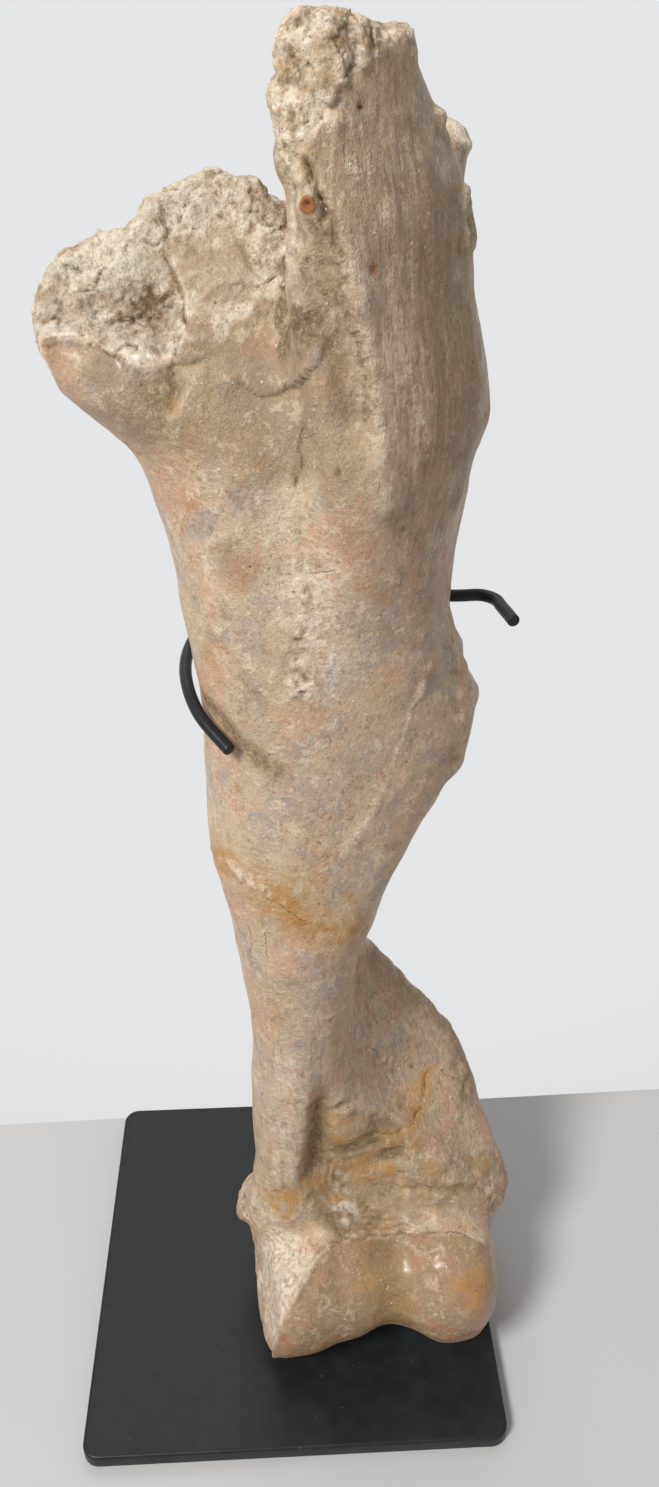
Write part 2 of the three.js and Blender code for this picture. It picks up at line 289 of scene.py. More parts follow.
class Skin:
    """The bone's points in millimetres, the way each faces, and where the picture shows it.

    Places are given as the picture shows them, (across, down), and a line as a list of them.
    """

    def __init__(self, mesh):
        self.points = mesh_points(mesh)
        self.out = read(mesh.vertex_normals, "vector", 3, np.float32).astype(float)
        self.edges = mesh_edges(mesh)
        mesh.calc_loop_triangles()
        corners = read(mesh.loop_triangles, "vertices", 3, np.int32)
        self.tree = BVHTree.FromPolygons(self.points.tolist(), corners.tolist())
        wander = [0.9 * swell(self.points, 5, 201 + k) + 0.4 * swell(self.points, 1.9, 204 + k)
                  for k in range(3)]
        self.wavy = self.points + np.stack(wander, 1)
        self.spot, self.depth = in_picture(self.points)
        self.lift = np.zeros(len(self.points))
        self.marks = {}
        self.shown = self.see()

    def see(self):
        """1 where the camera sees the skin, 0 where it doesn't."""
        clear_of_skin = 0.8
        ways = CAMERA_PLACE - self.points
        ways /= np.linalg.norm(ways, axis=1)[:, None]
        facing = np.einsum("ij,ij->i", ways, self.out)
        shown = clamp(facing * 4)
        for i in np.nonzero(shown > 0)[0]:
            start = Vector(self.points[i] + self.out[i] * clear_of_skin)
            if self.tree.ray_cast(start, Vector(ways[i]))[0] is not None:
                shown[i] = 0
        for _ in range(3):
            shown = 0.5 * shown + 0.5 * neighbour_mean(self.edges, shown)
        return shown

    def place(self, across, down):
        """The place on the skin that the picture shows at (across, down), or the nearest."""
        way = Vector(sight_line(across, down))
        hit = self.tree.ray_cast(Vector(CAMERA_PLACE), way)[0]
        if hit is None:
            away = np.linalg.norm(self.spot - (across, down), axis=1) + 999 * (self.shown < 0.1)
            hit = self.points[np.argmin(away)]
        return np.array(hit)

    def away(self, across, down):
        """Distance from a place, wavering a little."""
        return np.linalg.norm(self.wavy - self.place(across, down), axis=1)

    def patch(self, outline, soft=1.5):
        """1 inside an outline, 0 outside, over `soft` millimetres."""
        corners = np.array(outline, float)
        inside = np.zeros(len(self.spot), bool)
        away = np.full(len(self.spot), 1e9)
        x, y = self.spot[:, 0], self.spot[:, 1]
        for a, b in zip(corners, np.roll(corners, -1, 0)):
            run = b - a
            t = clamp(((x - a[0]) * run[0] + (y - a[1]) * run[1]) / (run @ run))
            away = np.minimum(away, np.hypot(x - a[0] - t * run[0], y - a[1] - t * run[1]))
            if a[1] != b[1]:
                cuts = (a[1] > y) != (b[1] > y)
                inside ^= cuts & (x < a[0] + (y - a[1]) * run[0] / run[1])
        side = np.where(inside, away, -away) * self.depth / FOCAL
        wander = 0.8 * soft * rough(self.points, 5, 2, 31)
        return rise(side + wander, -soft, soft) * self.shown

    def line(self, places, wavy=True):
        """Distance from a line, side (right of its way is more than 0 when it runs down) and
        how far along it, from 0 to 1."""
        points = self.wavy if wavy else self.points
        ends = np.array([self.place(*p) for p in places])
        best = np.full(len(self.points), 1e9)
        lean = np.zeros(len(self.points))
        along = np.zeros(len(self.points))
        runs = ends[1:] - ends[:-1]
        lengths = np.linalg.norm(runs, axis=1)
        starts = np.concatenate([[0], np.cumsum(lengths)])
        for n, run in enumerate(runs):
            off = points - ends[n]
            t = clamp(off @ run / (run @ run))
            gap = off - t[:, None] * run
            away = np.linalg.norm(gap, axis=1)
            turn = np.einsum("ij,ij->i", gap, np.cross(self.out, run)) / lengths[n]
            same = (np.abs(away - best) < 1e-6) & (np.abs(turn) > np.abs(lean))
            nearer = (away < best - 1e-6) | same
            best = np.where(nearer, away, best)
            lean = np.where(nearer, turn, lean)
            along = np.where(nearer, (starts[n] + t * lengths[n]) / starts[-1], along)
        return best, best * np.sign(lean), along

    def near(self, where, reach, wavy=True):
        """1 at a place or on a line, falling to 0 at the reach."""
        away = self.line(where, wavy)[0] if isinstance(where, list) else self.away(*where)
        return bell(away, reach)

    def patchy(self, size, layers, seed, low, high):
        """Random patches: 0 where a rough field is below low, 1 where it is above high."""
        return rise(rough(self.wavy, size, layers, seed), low, high)

    def add(self, height):
        """Raises the skin by so many millimetres; less than 0 lowers it."""
        self.lift = self.lift + height

    def mark(self, **strengths):
        """Notes where finishes show. Of marks of one name the strongest counts."""
        for name, strength in strengths.items():
            self.marks[name] = np.maximum(self.marks.get(name, 0), clamp(strength))

    def dab(self, where, reach, **strengths):
        """Marks a place, or a band along a line."""
        near = self.near(where, reach)
        for name, strength in strengths.items():
            self.mark(**{name: strength * near})

    def lumps(self, spots):
        """Round lumps, each (across, down, radius, height); less than 0 makes a hollow."""
        for across, down, radius, height in spots:
            self.add(height * self.near((across, down), radius * 1.4))

    def pits(self, spots):
        """Small pits, each (across, down, radius, depth), darkened with painted shade."""
        for across, down, radius, depth in spots:
            away = self.away(across, down)
            self.add(-depth * bell(away, radius * 1.5))
            self.mark(shade=0.9 * bell(away, radius * 1.3))

    def step(self, places, high, low, reach):
        """A broken step: raised on the line's right or upper side, lowered on the other."""
        away, side, along = self.line(places)
        fade = bell(away, reach) * rise(along, 0, 0.06) * rise(1 - along, 0, 0.06)
        over = rise(side, -0.5, 0.7)
        self.add(fade * (high * over - low * (1 - over)))

    def groove(self, places, depth, width, **stains):
        """A groove that runs out at both ends. Each mark along it, such as painted shade, has a
        strength and a reach.
        """
        away, _, along = self.line(places)
        fade = rise(along, -0.02, 0.16) * rise(1 - along, -0.02, 0.16)
        self.add(-depth * bell(away, width) * fade)
        for name, (strength, reach) in stains.items():
            self.mark(**{name: strength * bell(away, reach)})

    def ridge(self, places, height, width, **stains):
        self.groove(places, -height, width, **stains)

    def crack(self, places, depth, stain=0.0):
        """A fine crack, remembered by its side and nearness so that the finish can draw it."""
        away, side, along = self.line(places)
        near = bell(away, 3.2) * rise(along, 0, 0.02) * rise(1 - along, 0, 0.02)
        closer = near > self.marks.get("crack_near", np.zeros(len(away)))
        old_side = self.marks.get("crack_side", np.full(len(away), 0.5))
        self.marks["crack_side"] = np.where(closer, clamp(0.5 + side / 8), old_side)
        self.mark(crack_near=near, rust=stain * bell(away, 4.5))
        self.add(-depth * bell(away, 1.2) * near)


# ---- relief of each region of the bone

INNER_MASS_BREAK = [
    (15, 348), (41, 341), (66, 338), (91, 336), (110, 345), (132, 364), (152, 363), (174, 360),
    (195, 350), (213, 345), (240, 341), (262, 331), (276, 312), (286, 292), (296, 262),
    (294, 235), (292, 212), (288, 180), (250, 120), (120, 120), (10, 220)]
TUBERCLE_BREAK = [
    (255, -40), (255, 100), (262, 185), (290, 214), (312, 232), (330, 250), (341, 257),
    (337, 240), (326, 212), (309, 186), (305, 160), (307, 146), (318, 135), (331, 122),
    (346, 98), (372, 78), (392, 52), (408, 30), (410, -40)]


def broken_relief(skin, strength, seed):
    """Spongy broken bone: swells, tilted facets on two scales and a sandy face."""
    swells = 1.2 * rough(skin.points, 16, 3, seed)
    facets = 0.55 * cells(skin.wavy, 9, seed + 3)[1] + 0.3 * cells(skin.wavy, 4, seed + 11)[1]
    crumbs = 0.3 * np.abs(rough(skin.wavy, 4.5, 3, seed + 15)) - 0.2
    sand = 0.36 * rough(skin.points, 1.6, 3, seed + 19)
    skin.add(strength * (swells + facets + crumbs + sand))


def inner_mass_relief(skin):
    """What is left of the lesser tubercle: broken open on its top and front."""
    plateau = skin.patch([
        (166, 256), (185, 232), (215, 224), (244, 230), (252, 262), (262, 300), (250, 318),
        (222, 328), (192, 328), (178, 300)], 4.5)
    below = skin.patch([(176, 326), (252, 316), (290, 285), (330, 320), (312, 372), (250, 376),
                        (178, 366)], 3.5)
    right = skin.patch([(262, 268), (300, 225), (350, 262), (350, 345), (268, 356), (256, 320)],
                       4.5)
    x, y, z = skin.points.T
    ragged = 7 * rough(skin.points, 9, 3, 6)
    crown = rise(z - 0.35 * y + 5 * swell(skin.points, 11, 3), 371, 377)
    crown *= rise(6 + 5 * swell(skin.points, 14, 4) - x, 0, 4) * rise(18 + ragged - y, 0, 4)
    outside = rise(-47 - x, 0, 5) * rise(z + 4 * swell(skin.points, 9, 5), 355, 360)
    outside *= rise(12 + ragged - y, 0, 4)
    hidden = np.maximum(crown, outside) * (1 - skin.shown)
    broken = np.maximum(skin.patch(INNER_MASS_BREAK, 1.6) + hidden, outside)
    broken_relief(skin, broken * (1 - 0.65 * plateau) * (1 - 0.3 * right), 11)
    skin.mark(broken=broken * (1 - 0.66 * plateau) * (1 - 0.55 * np.maximum(below, right)),
              pale=broken * (0.55 - 0.55 * plateau) * (1 - below),
              shade=broken * 0.4 * skin.patchy(6, 3, 15, 0.1, 0.8))
    skin.mark(brown=0.9 * plateau, shade=0.16 * plateau)
    skin.mark(brown=0.7 * below, shade=0.24 * below)


def inner_mass_hollows(skin):
    skin.lumps([(86, 245, 9, -2.6), (106, 231, 4, -1.2), (60, 300, 5, -1.0),
                (230, 205, 6, -1.2), (147, 302, 8, -2.0)])
    # Painted shade along the groove.
    skin.groove([(80, 303), (104, 297), (128, 290), (148, 278), (162, 262)], 2.6, 8,
                shade=(0.25, 4))
    # Painted shade in the pocket of the pit, broken into patches.
    pocket = skin.near([(128, 315), (146, 306), (156, 290)], 8)
    skin.mark(shade=1.2 * pocket * skin.patchy(4, 3, 16, -1.0, 0.2))
    skin.pits([(143, 311, 1.8, 1.2), (52, 321, 1.5, 1.0), (284, 268, 1.3, 1.0)])
    skin.lumps([
        (60, 262, 5, 1.8), (103, 231, 5, 1.2), (150, 204, 7, 1.5), (197, 174, 6, 1.8),
        (226, 173, 5, 1.4), (251, 186, 4, 1.2), (265, 210, 5, -1.8), (128, 216, 5, -1.3),
        (175, 187, 5, -1.2), (88, 255, 6, -2.0), (40, 300, 6, 1.2), (44, 338, 6, 1.5)])
    away, _, along = skin.line([(112, 346), (130, 350), (150, 354), (172, 352)])
    ledge = bell(away, 8) * rise(along, 0, 0.5) * rise(1 - along, 0, 0.4)
    # The ledge under the break: raised, with a painted highlight where it is lit.
    skin.add(1.2 * ledge)
    skin.mark(pale=0.8 * ledge)


def inner_mass_edges(skin):
    """The lip below the break, the edge between its lobes and the chipped places under it."""
    skin.step([(43, 346), (66, 345), (91, 343), (110, 352), (138, 375), (156, 372), (174, 368),
               (195, 360), (213, 355)], 0.8, 0.4, 6)
    skin.step([(196, 196), (180, 222), (166, 250), (176, 275), (187, 300), (187, 322),
               (182, 345), (178, 364)], 1.3, 1.9, 10)
    lump = skin.away(275, 246)
    skin.add(1.5 * rise(5.4 - lump, 0, 1.4) - 0.9 * bell(np.abs(lump - 6.2), 1.8))
    skin.mark(pale=0.8 * bell(lump, 6.5), broken=0.8 * bell(lump, 8))
    skin.ridge([(198, 302), (214, 288), (232, 282), (246, 272)], 0.45, 1.4)
    facet = skin.patch([(131, 380), (174, 371), (182, 388), (173, 412), (163, 430), (148, 412)])
    broken_relief(skin, 0.35 * facet, 21)
    skin.add(-1.2 * facet)
    # Painted shade on the chipped facet under the lip, over its brown.
    skin.mark(shade=0.35 * facet, brown=0.9 * facet)
    skin.groove([(174, 372), (176, 392), (168, 414)], 1.2, 2.0)
    skin.dab([(170, 400), (174, 411)], 2.2, rust=0.8)
    skin.step([(233, 376), (247, 389), (270, 394), (291, 388), (313, 371), (322, 345)],
              0.45, 0.7, 7)
    scar = skin.patch([(226, 358), (233, 377), (247, 390), (270, 395), (291, 389), (313, 371),
                       (322, 345), (316, 318), (284, 335), (262, 352)], 0.6)
    skin.mark(grey=0.8 * scar, shade=0.22 * scar)
    rubble = skin.patch([(255, 330), (292, 240), (322, 244), (342, 300), (334, 352),
                         (280, 356)], 4.0)
    broken_relief(skin, 0.45 * rubble, 27)
    skin.mark(broken=0.4 * rubble, brown=rubble,
              shade=rubble * (0.3 + 0.5 * skin.patchy(5, 3, 28, -0.3, 0.5)))


def tubercle_relief(skin):
    """The outer plate's top and the broken strip down its inner edge."""
    y, z = skin.points[:, 1], skin.points[:, 2]
    top = rise(z + 3 * swell(skin.points, 7, 8), 424, 429)
    broken = np.maximum(skin.patch(TUBERCLE_BREAK, 2.6), top * rise(y, -34, -20))
    broken_relief(skin, 0.45 * broken, 41)
    flakes = 0.2 * swell(skin.wavy * [1, 1, 0.4], 2.6, 47)
    facets = 0.45 * cells(skin.wavy * [1, 1, 0.6], 4.5, 49)[1]
    skin.add(broken * (flakes + facets + 0.36 * rough(skin.points, 1.7, 3, 53)))
    strip = rise(412 - z, 0, 18)
    skin.mark(broken=broken * (0.55 - 0.22 * strip), brown=0.9 * broken,
              shade=broken * (0.36 * strip + 0.5 * skin.patchy(3, 3, 50, 0.0, 0.7)),
              rust=0.45 * broken * skin.patchy(3, 3, 48, 0.1, 0.7))
    skin.step([(338, 104), (320, 128), (307, 140), (306, 157), (317, 190), (331, 230),
               (342, 258)], 0.3, 0.4, 5)
    skin.pits([(365, 103, 1.0, 1.0), (345, 17, 0.8, 0.8), (297, 92, 0.6, 0.6)])
    skin.lumps([
        (273, 98, 4, 0.6), (277, 130, 3.5, -1.0), (284, 40, 4, 1.0), (276, 166, 3.5, 1.0),
        (288, 200, 4, -1.3), (300, 8, 4, 0.8), (398, 32, 2.6, 2.0), (382, 24, 4, -1.3),
        (281, 66, 3.5, -1.0), (318, 2, 4, -0.8)])
    nub = skin.patch([(432, 116), (440, 92), (474, 92), (490, 130), (480, 160), (468, 158),
                      (452, 140)], 1.0)
    skin.add(nub * (2.0 + 0.9 * rough(skin.points, 4, 2, 51)))
    skin.mark(broken=0.6 * nub, pale=0.9 * nub)
    back = skin.patch([(462, 184), (494, 184), (494, 252), (464, 250)], 1.0)
    skin.add(back * (0.8 + 1.2 * rough(skin.points, 4, 2, 55)))
    skin.mark(broken=0.7 * back)
    face = skin.patch([
        (342, 100), (372, 78), (404, 50), (436, 120), (470, 170), (478, 280), (498, 400),
        (480, 470), (455, 600), (440, 620), (400, 600), (378, 480), (368, 400), (360, 340),
        (346, 295), (335, 256), (303, 172), (304, 145)], 4.0)
    skin.mark(grain=face, brown=0.75 * face * rise(z, 318, 362))


def plugs(skin):
    """Two small round plugs of brown filler in the outer plate, and the seam beside them."""
    ring = np.linalg.norm(skin.points - skin.place(308.6, 205), axis=1)
    calm = bell(ring, 4.5)
    skin.lift = skin.lift * (1 - calm) + 0.3 * calm
    for name in ("shade", "rust"):
        skin.marks[name] = skin.marks[name] * (1 - calm)
    seam = [(306, 160), (311, 178), (321, 203), (333, 232), (341, 256)]
    skin.groove(seam, 1.2, 1.7, shade=(0.95, 1.4))
    skin.crack(seam, 0.4)
    skin.add(0.5 * bell(np.abs(ring - 1.2), 0.8) - 0.7 * bell(ring, 1.0))
    skin.mark(plug=rise(2.0 - ring, 0, 0.5))
    dot = np.linalg.norm(skin.points - skin.place(372, 268.6), axis=1)
    skin.add(-0.35 * bell(dot, 1.6))
    skin.mark(plug=0.8 * rise(1.45 - dot, 0, 0.5), shade=0.5 * bell(dot, 1.6))
    skin.dab((262, 195), 1.4, plug=0.6)


def pillar_relief(skin):
    """The crest that runs down from the outer plate, with the hollow along its inner side. The
    hollow gets painted shade, the crest's lit flank and front painted highlights, and its far
    side painted shade.
    """
    run = [(341, 256), (348, 280), (358, 307), (366, 339), (373, 379), (376, 421), (379, 479),
           (386, 530), (393, 580)]
    away, side, along = skin.line(run, wavy=False)
    fade = rise(along, 0, 0.12) * rise(1 - along, 0.1, 0.6) * bell(away, 16)
    skin.add(fade * (0.5 * bell(np.abs(side - 0.5), 4.5) - 1.0 * bell(np.abs(side + 7), 10)))
    # Painted shade in the hollow beside the crest.
    skin.mark(shade=0.42 * fade * bell(np.abs(side + 6), 9))
    upper = [(316, 190), (328, 222), (341, 256), (348, 280), (358, 307), (366, 339)]
    away, side, along = skin.line(upper, wavy=False)
    shoulder = np.where(side < 0, bell(-side, 4), bell(side, 12))
    skin.add(1.6 * shoulder * rise(along, 0, 0.3) * rise(1 - along, 0, 0.35) * bell(away, 14))
    for flute in [[(404, 330), (412, 420), (408, 520)], [(420, 200), (440, 330), (446, 460)],
                  [(390, 140), (404, 240), (420, 330)], [(386, 400), (390, 460), (392, 540)],
                  [(396, 420), (402, 480), (404, 560)], [(424, 420), (426, 480), (420, 560)]]:
        skin.groove(flute, 0.25, 2.4)
    away = skin.line([(316, 268), (330, 310), (344, 360), (353, 415)], wavy=False)[0]
    skin.add(-3.0 * bell(away, 12))
    # Painted shade down the valley, with brown.
    skin.mark(shade=0.34 * bell(away, 11), brown=0.8 * bell(away, 14))
    skin.step([(333, 254), (344, 284), (354, 315), (362, 350), (368, 390), (372, 430)],
              0.7, 1.2, 7)
    lit_flank = skin.line([(347, 270), (356, 310), (368, 360), (378, 430), (386, 500)], wavy=False)[0]
    skin.add(1.3 * bell(lit_flank, 8))
    # Painted highlight along the lit flank.
    skin.mark(pale=0.6 * bell(lit_flank, 6))
    front = skin.line([(388, 300), (398, 380), (404, 460)], wavy=False)[0]
    # Painted highlight on the front, with a faint red tint.
    skin.mark(pale=0.5 * bell(front, 10), red=0.16 * bell(front, 12))
    shaded_side = skin.patch([(430, 180), (478, 190), (500, 420), (470, 520), (425, 480), (418, 300)], 8)
    # Painted shade and brown on the side turned from the lamp.
    skin.mark(brown=0.8 * shaded_side, shade=0.36 * shaded_side)


def shaft_relief(skin):
    """The crumbly vein down the shaft, its rough outer edge, and its threads and creases."""
    away, _, along = skin.line([(302, 436), (296, 470), (294, 500), (303, 545), (304, 590),
                                (299, 640), (298, 668), (300, 696)])
    band = bell(away, 3.2) * rise(along, 0.2, 0.6)
    grains = rough(skin.wavy, 3.2, 3, 61)
    crumbs = rise(grains, -0.2, 0.5)
    skin.add(band * (1.1 * crumbs - 0.4))
    # Paler crumbs, with painted shade between them.
    skin.mark(pale=band * crumbs, shade=0.55 * band * rise(-grains, 0.1, 0.6))
    light = skin.near([(310, 540), (318, 640), (312, 760)], 15)
    skin.mark(pale=0.8 * light * skin.patchy(9, 4, 62, -0.5, 0.4))
    knot = skin.patch([(285, 672), (296, 664), (312, 676), (322, 694), (306, 704), (290, 694)])
    skin.add(knot * (0.5 + 0.7 * rough(skin.points, 2.6, 2, 63)))
    skin.mark(pale=0.8 * knot)
    skin.pits([
        (301, 624, 0.7, 1.2), (297, 640, 0.8, 1.3), (289, 652, 0.8, 0.9), (298, 685, 0.9, 1.6),
        (303, 691, 0.6, 1.0), (294, 676, 0.5, 0.7), (374, 771, 0.8, 0.5), (300, 533, 0.5, 0.6)])
    edge = skin.patch([(447, 625), (468, 640), (492, 690), (488, 745), (466, 790), (440, 795),
                       (452, 745), (458, 690)], 1.5)
    skin.add(edge * (0.4 + 0.9 * rough(skin.points, 6, 3, 65)))
    skin.lumps([
        (466, 640, 4, 1.3), (474, 690, 5, 1.6), (470, 722, 4, -1.2), (462, 762, 5, 1.2),
        (457, 608, 4, -1.2), (448, 790, 4, -0.8), (488, 420, 6, 0.8), (474, 470, 5, -0.8)])
    skin.mark(broken=0.25 * edge, grain=0.6 * edge)
    skin.ridge([(423, 684), (412, 712), (402, 742), (391, 770), (380, 797)], 0.25, 1.3,
               pale=(0.9, 1.0))
    skin.ridge([(384, 790), (370, 814), (352, 842), (334, 868)], 0.5, 2.2, pale=(0.6, 1.6))
    beside = skin.line([(396, 800), (380, 828), (362, 856), (346, 884)])[0]
    skin.mark(grey=0.8 * bell(beside, 6), shade=0.22 * bell(beside, 5))
    skin.ridge([(430, 662), (425, 684), (420, 700)], 0.5, 2.6)
    skin.dab((425, 680), 4, brown=1)
    skin.dab((425, 676), 1.8, shade=0.5)
    # Painted shade along a crease, where the left arm's shadow falls.
    skin.groove([(204, 700), (220, 720), (238, 742), (258, 760), (276, 772)], 0.9, 6,
                shade=(0.62, 5.5))
    split = [(303, 424), (301, 432), (295, 447), (301, 467), (298, 486)]
    skin.groove(split, 0.7, 2.4, shade=(0.8, 1.1))
    skin.dab([(360, 586), (380, 597), (430, 606)], 4.5, rust=0.45)
    for places, depth in [(split, 0.3), ([(316, 431), (306, 438), (298, 444)], 0.3),
                          ([(286, 573), (312, 575), (334, 572)], 0.2),
                          ([(248, 925), (252, 958)], 0.1), ([(262, 930), (267, 962)], 0.1),
                          ([(240, 1010), (244, 1050)], 0.1)]:
        skin.crack(places, depth)


def glued_break(skin):
    """The break across the shaft, mended with filler that stands a little proud."""
    away, _, along = skin.line([(209, 852), (228, 864), (246, 878), (264, 890), (283, 903),
                                (300, 918), (316, 924), (336, 929), (364, 934)])
    filler = bell(away, 1.5) * rise(rough(skin.points, 3, 2, 67), -0.6, 0.3)
    filler *= rise(1 - along, 0, 0.4)
    skin.add(0.5 * filler)
    skin.mark(pale=0.9 * filler,
              rust=0.9 * bell(away, 12) * rise(rough(skin.points, 7, 3, 68), -0.9, 0.2))
    chips = skin.near([(232, 866), (250, 880), (270, 893)], 3.5) * skin.patchy(3, 2, 69, 0.0, 0.5)
    skin.add(0.5 * chips)
    skin.mark(chalk=0.7 * chips)
    skin.crack([(270, 897), (288, 909), (306, 922)], 0.1)


def elbow_column(skin):
    """The column above the inner side of the joint, with the gully along it. The hollow and the
    gully get painted shade, and the column's lit side a painted highlight.
    """
    column = [(312, 1050), (310, 1100), (307, 1140), (301, 1175), (297, 1200)]
    away, side, along = skin.line(column, wavy=False)
    wall = rise(along, 0, 0.5) * rise(1 - along, 0, 0.3) * bell(away, 18)
    hollow = bell(np.abs(side - 3 - 4 * along), 4 + 6 * along)
    skin.add(wall * (0.6 * bell(np.abs(side + 3), 5) - 2.4 * hollow))
    # Painted shade in the hollow beside the column.
    skin.mark(shade=0.85 * wall * hollow, rust=0.5 * wall * bell(np.abs(side - 7), 8),
              grain=wall * bell(np.abs(side - 4), 9))
    away, _, along = skin.line([(330, 1060), (324, 1100), (320, 1140), (315, 1180), (312, 1200)])
    gully = rise(along, 0, 0.7) * rise(1 - along, 0, 0.25)
    skin.add(-1.9 * gully * bell(away, 9))
    # Painted shade in the gully, and a painted highlight on the column's lit side.
    skin.mark(shade=0.8 * gully * bell(away, 7),
              pale=0.45 * skin.near([(290, 1060), (286, 1120), (282, 1176)], 8, wavy=False))


def elbow_hollow(skin):
    """The hollow above the joint, with its curved layers, its ledge and its cracks. Painted shade
    lies in the troughs of the layers, the low places of the hollow and the ledge's grooves.
    """
    fossa = skin.patch([(310, 1110), (330, 1100), (396, 1125), (430, 1150), (404, 1168),
                        (404, 1208), (392, 1232), (340, 1238), (318, 1225), (303, 1190)], 3.5)
    layers = skin.patch([(322, 1168), (338, 1160), (356, 1200), (382, 1216), (402, 1220),
                         (404, 1238), (340, 1242), (316, 1215)], 2.5)
    layers = layers * rise(rough(skin.points, 7, 2, 72), -1.2, 0.0)
    waves = np.sin(skin.away(392, 1168) * 2.4 + 2.0 * rough(skin.points, 8, 3, 71))
    skin.add(layers * 0.28 * waves)
    lumps = rough(skin.wavy, 9, 3, 73)
    skin.add(fossa * (1 - 0.7 * layers) * 0.95 * lumps - 1.4 * fossa)
    # Painted shade in the troughs of the layers and the low places of the hollow.
    skin.mark(shade=0.6 * layers * rise(-waves, 0.3, 1.0))
    skin.mark(shade=0.65 * fossa * rise(-lumps, -0.4, 0.8), broken=0.25 * fossa,
              rust=0.7 * fossa * rise(lumps, -0.3, 0.6), brown=0.9 * fossa)
    skin.dab((400, 1200), 30, brown=0.7)
    ledge = skin.patch([(396, 1168), (430, 1160), (470, 1152), (510, 1148), (520, 1190),
                        (502, 1215), (470, 1212), (430, 1206), (402, 1200)], 1.5)
    height = cells(skin.wavy * [1, 1, 1.6], 6.0, 75)[1]
    skin.add(ledge * (0.3 + 0.28 * height + 0.75 * rough(skin.wavy, 7, 4, 77)))
    skin.mark(brown=ledge, rust=0.4 * ledge * skin.patchy(6, 3, 78, -0.2, 0.6))
    skin.groove([(404, 1184), (430, 1190), (462, 1188), (490, 1192)], 0.9, 2.5)
    skin.groove([(410, 1206), (440, 1210), (478, 1208)], 0.7, 3)
    # Painted shade in the ledge's grooves.
    skin.dab([(408, 1186), (446, 1190), (484, 1191)], 1.6, shade=0.5)
    skin.crack([(336, 1147), (366, 1141), (398, 1135), (412, 1124), (421, 1108), (428, 1070)],
               0.6, 1.0)
    for places, depth in [([(360, 1020), (368, 1042), (384, 1062), (400, 1086)], 0.2),
                          ([(366, 1000), (372, 1030)], 0.1),
                          ([(430, 1066), (450, 1076), (468, 1086)], 0.35)]:
        skin.crack(places, depth)
    rim = [(376, 955), (400, 976), (424, 998), (446, 1014), (460, 1050), (468, 1090)]
    skin.add(skin.near(rim, 5) * 0.8 * rough(skin.points, 5, 2, 79))
    skin.dab(rim, 9, brown=1, shade=0.32)


def pulley_edges(skin):
    """The joint's upper border and inner rim, and the chip above them."""
    border = [(318, 1256), (330, 1243), (352, 1240), (390, 1236), (425, 1234), (460, 1234),
              (486, 1246)]
    skin.step(border, -0.35, -0.5, 5)
    # Painted shade in the groove along the border.
    skin.groove(border, 0.5, 1.3, shade=(0.5, 1.1))
    away, side, _ = skin.line([(329, 1246), (312, 1268), (297, 1292), (283, 1325), (271, 1358)])
    skin.add(bell(away, 4) * (1.1 * bell(np.abs(side), 2.2) + 0.3))
    skin.mark(pale=0.7 * bell(away, 2.0))
    chip = skin.patch([(268, 1194), (284, 1188), (300, 1196), (299, 1214), (286, 1222),
                       (272, 1210)], 0.8)
    skin.add(-0.8 * chip)
    skin.mark(rust=0.85 * chip)
    skin.ridge([(278, 1150), (280, 1175), (282, 1194)], 0.8, 2.5)
    skin.dab([(262, 1186), (270, 1196), (282, 1190)], 4, rust=0.6)


def inner_epicondyle_relief(skin):
    """The worn knob at the inner side of the joint, and the face below it, made paler as a
    painted highlight where it faces the lamp.
    """
    knob = skin.patch([(225, 1188), (250, 1178), (262, 1200), (262, 1250), (266, 1300),
                       (256, 1312), (236, 1250)], 1.5)
    x, z = skin.points[:, 0], skin.points[:, 2]
    side = rise(-10 - x, 0, 4) * rise(z, 14, 20) * rise(70 - z, 0, 8)
    ball = skin.near((243, 1212), 13)
    skin.add(ball * (1.7 * cells(skin.wavy, 7, 84)[1] - 0.6 + 0.8 * rough(skin.wavy, 5, 3, 86)))
    skin.add(1.8 * (skin.near((239, 1213), 7) - skin.near((241, 1184), 7)))
    worn = np.maximum(np.maximum(knob, ball), 0.7 * side)
    skin.add(worn * (1.0 * rough(skin.points, 8, 3, 81) + 0.6 * cells(skin.points, 6, 82)[1]))
    inner = skin.patch([(262, 1225), (300, 1235), (318, 1258), (296, 1292), (270, 1352),
                        (258, 1290)], 1.5)
    # The pale mark on the inner face is a painted highlight.
    skin.mark(broken=0.2 * worn * (1 - ball), brown=0.9 * ball, pale=0.9 * inner)
    face = skin.patch([(258, 1262), (296, 1262), (290, 1300), (272, 1352), (262, 1352)], 1.5)
    skin.mark(chalk=face * rise(rough(skin.points, 3.5, 2, 83), 0.55, 0.8))
    chalk = skin.patch([(336, 1172), (344, 1170), (360, 1216), (350, 1230), (334, 1214)], 1.2)
    skin.mark(chalk=0.65 * chalk * rise(rough(skin.points, 4, 2, 85), -0.3, 0.4))


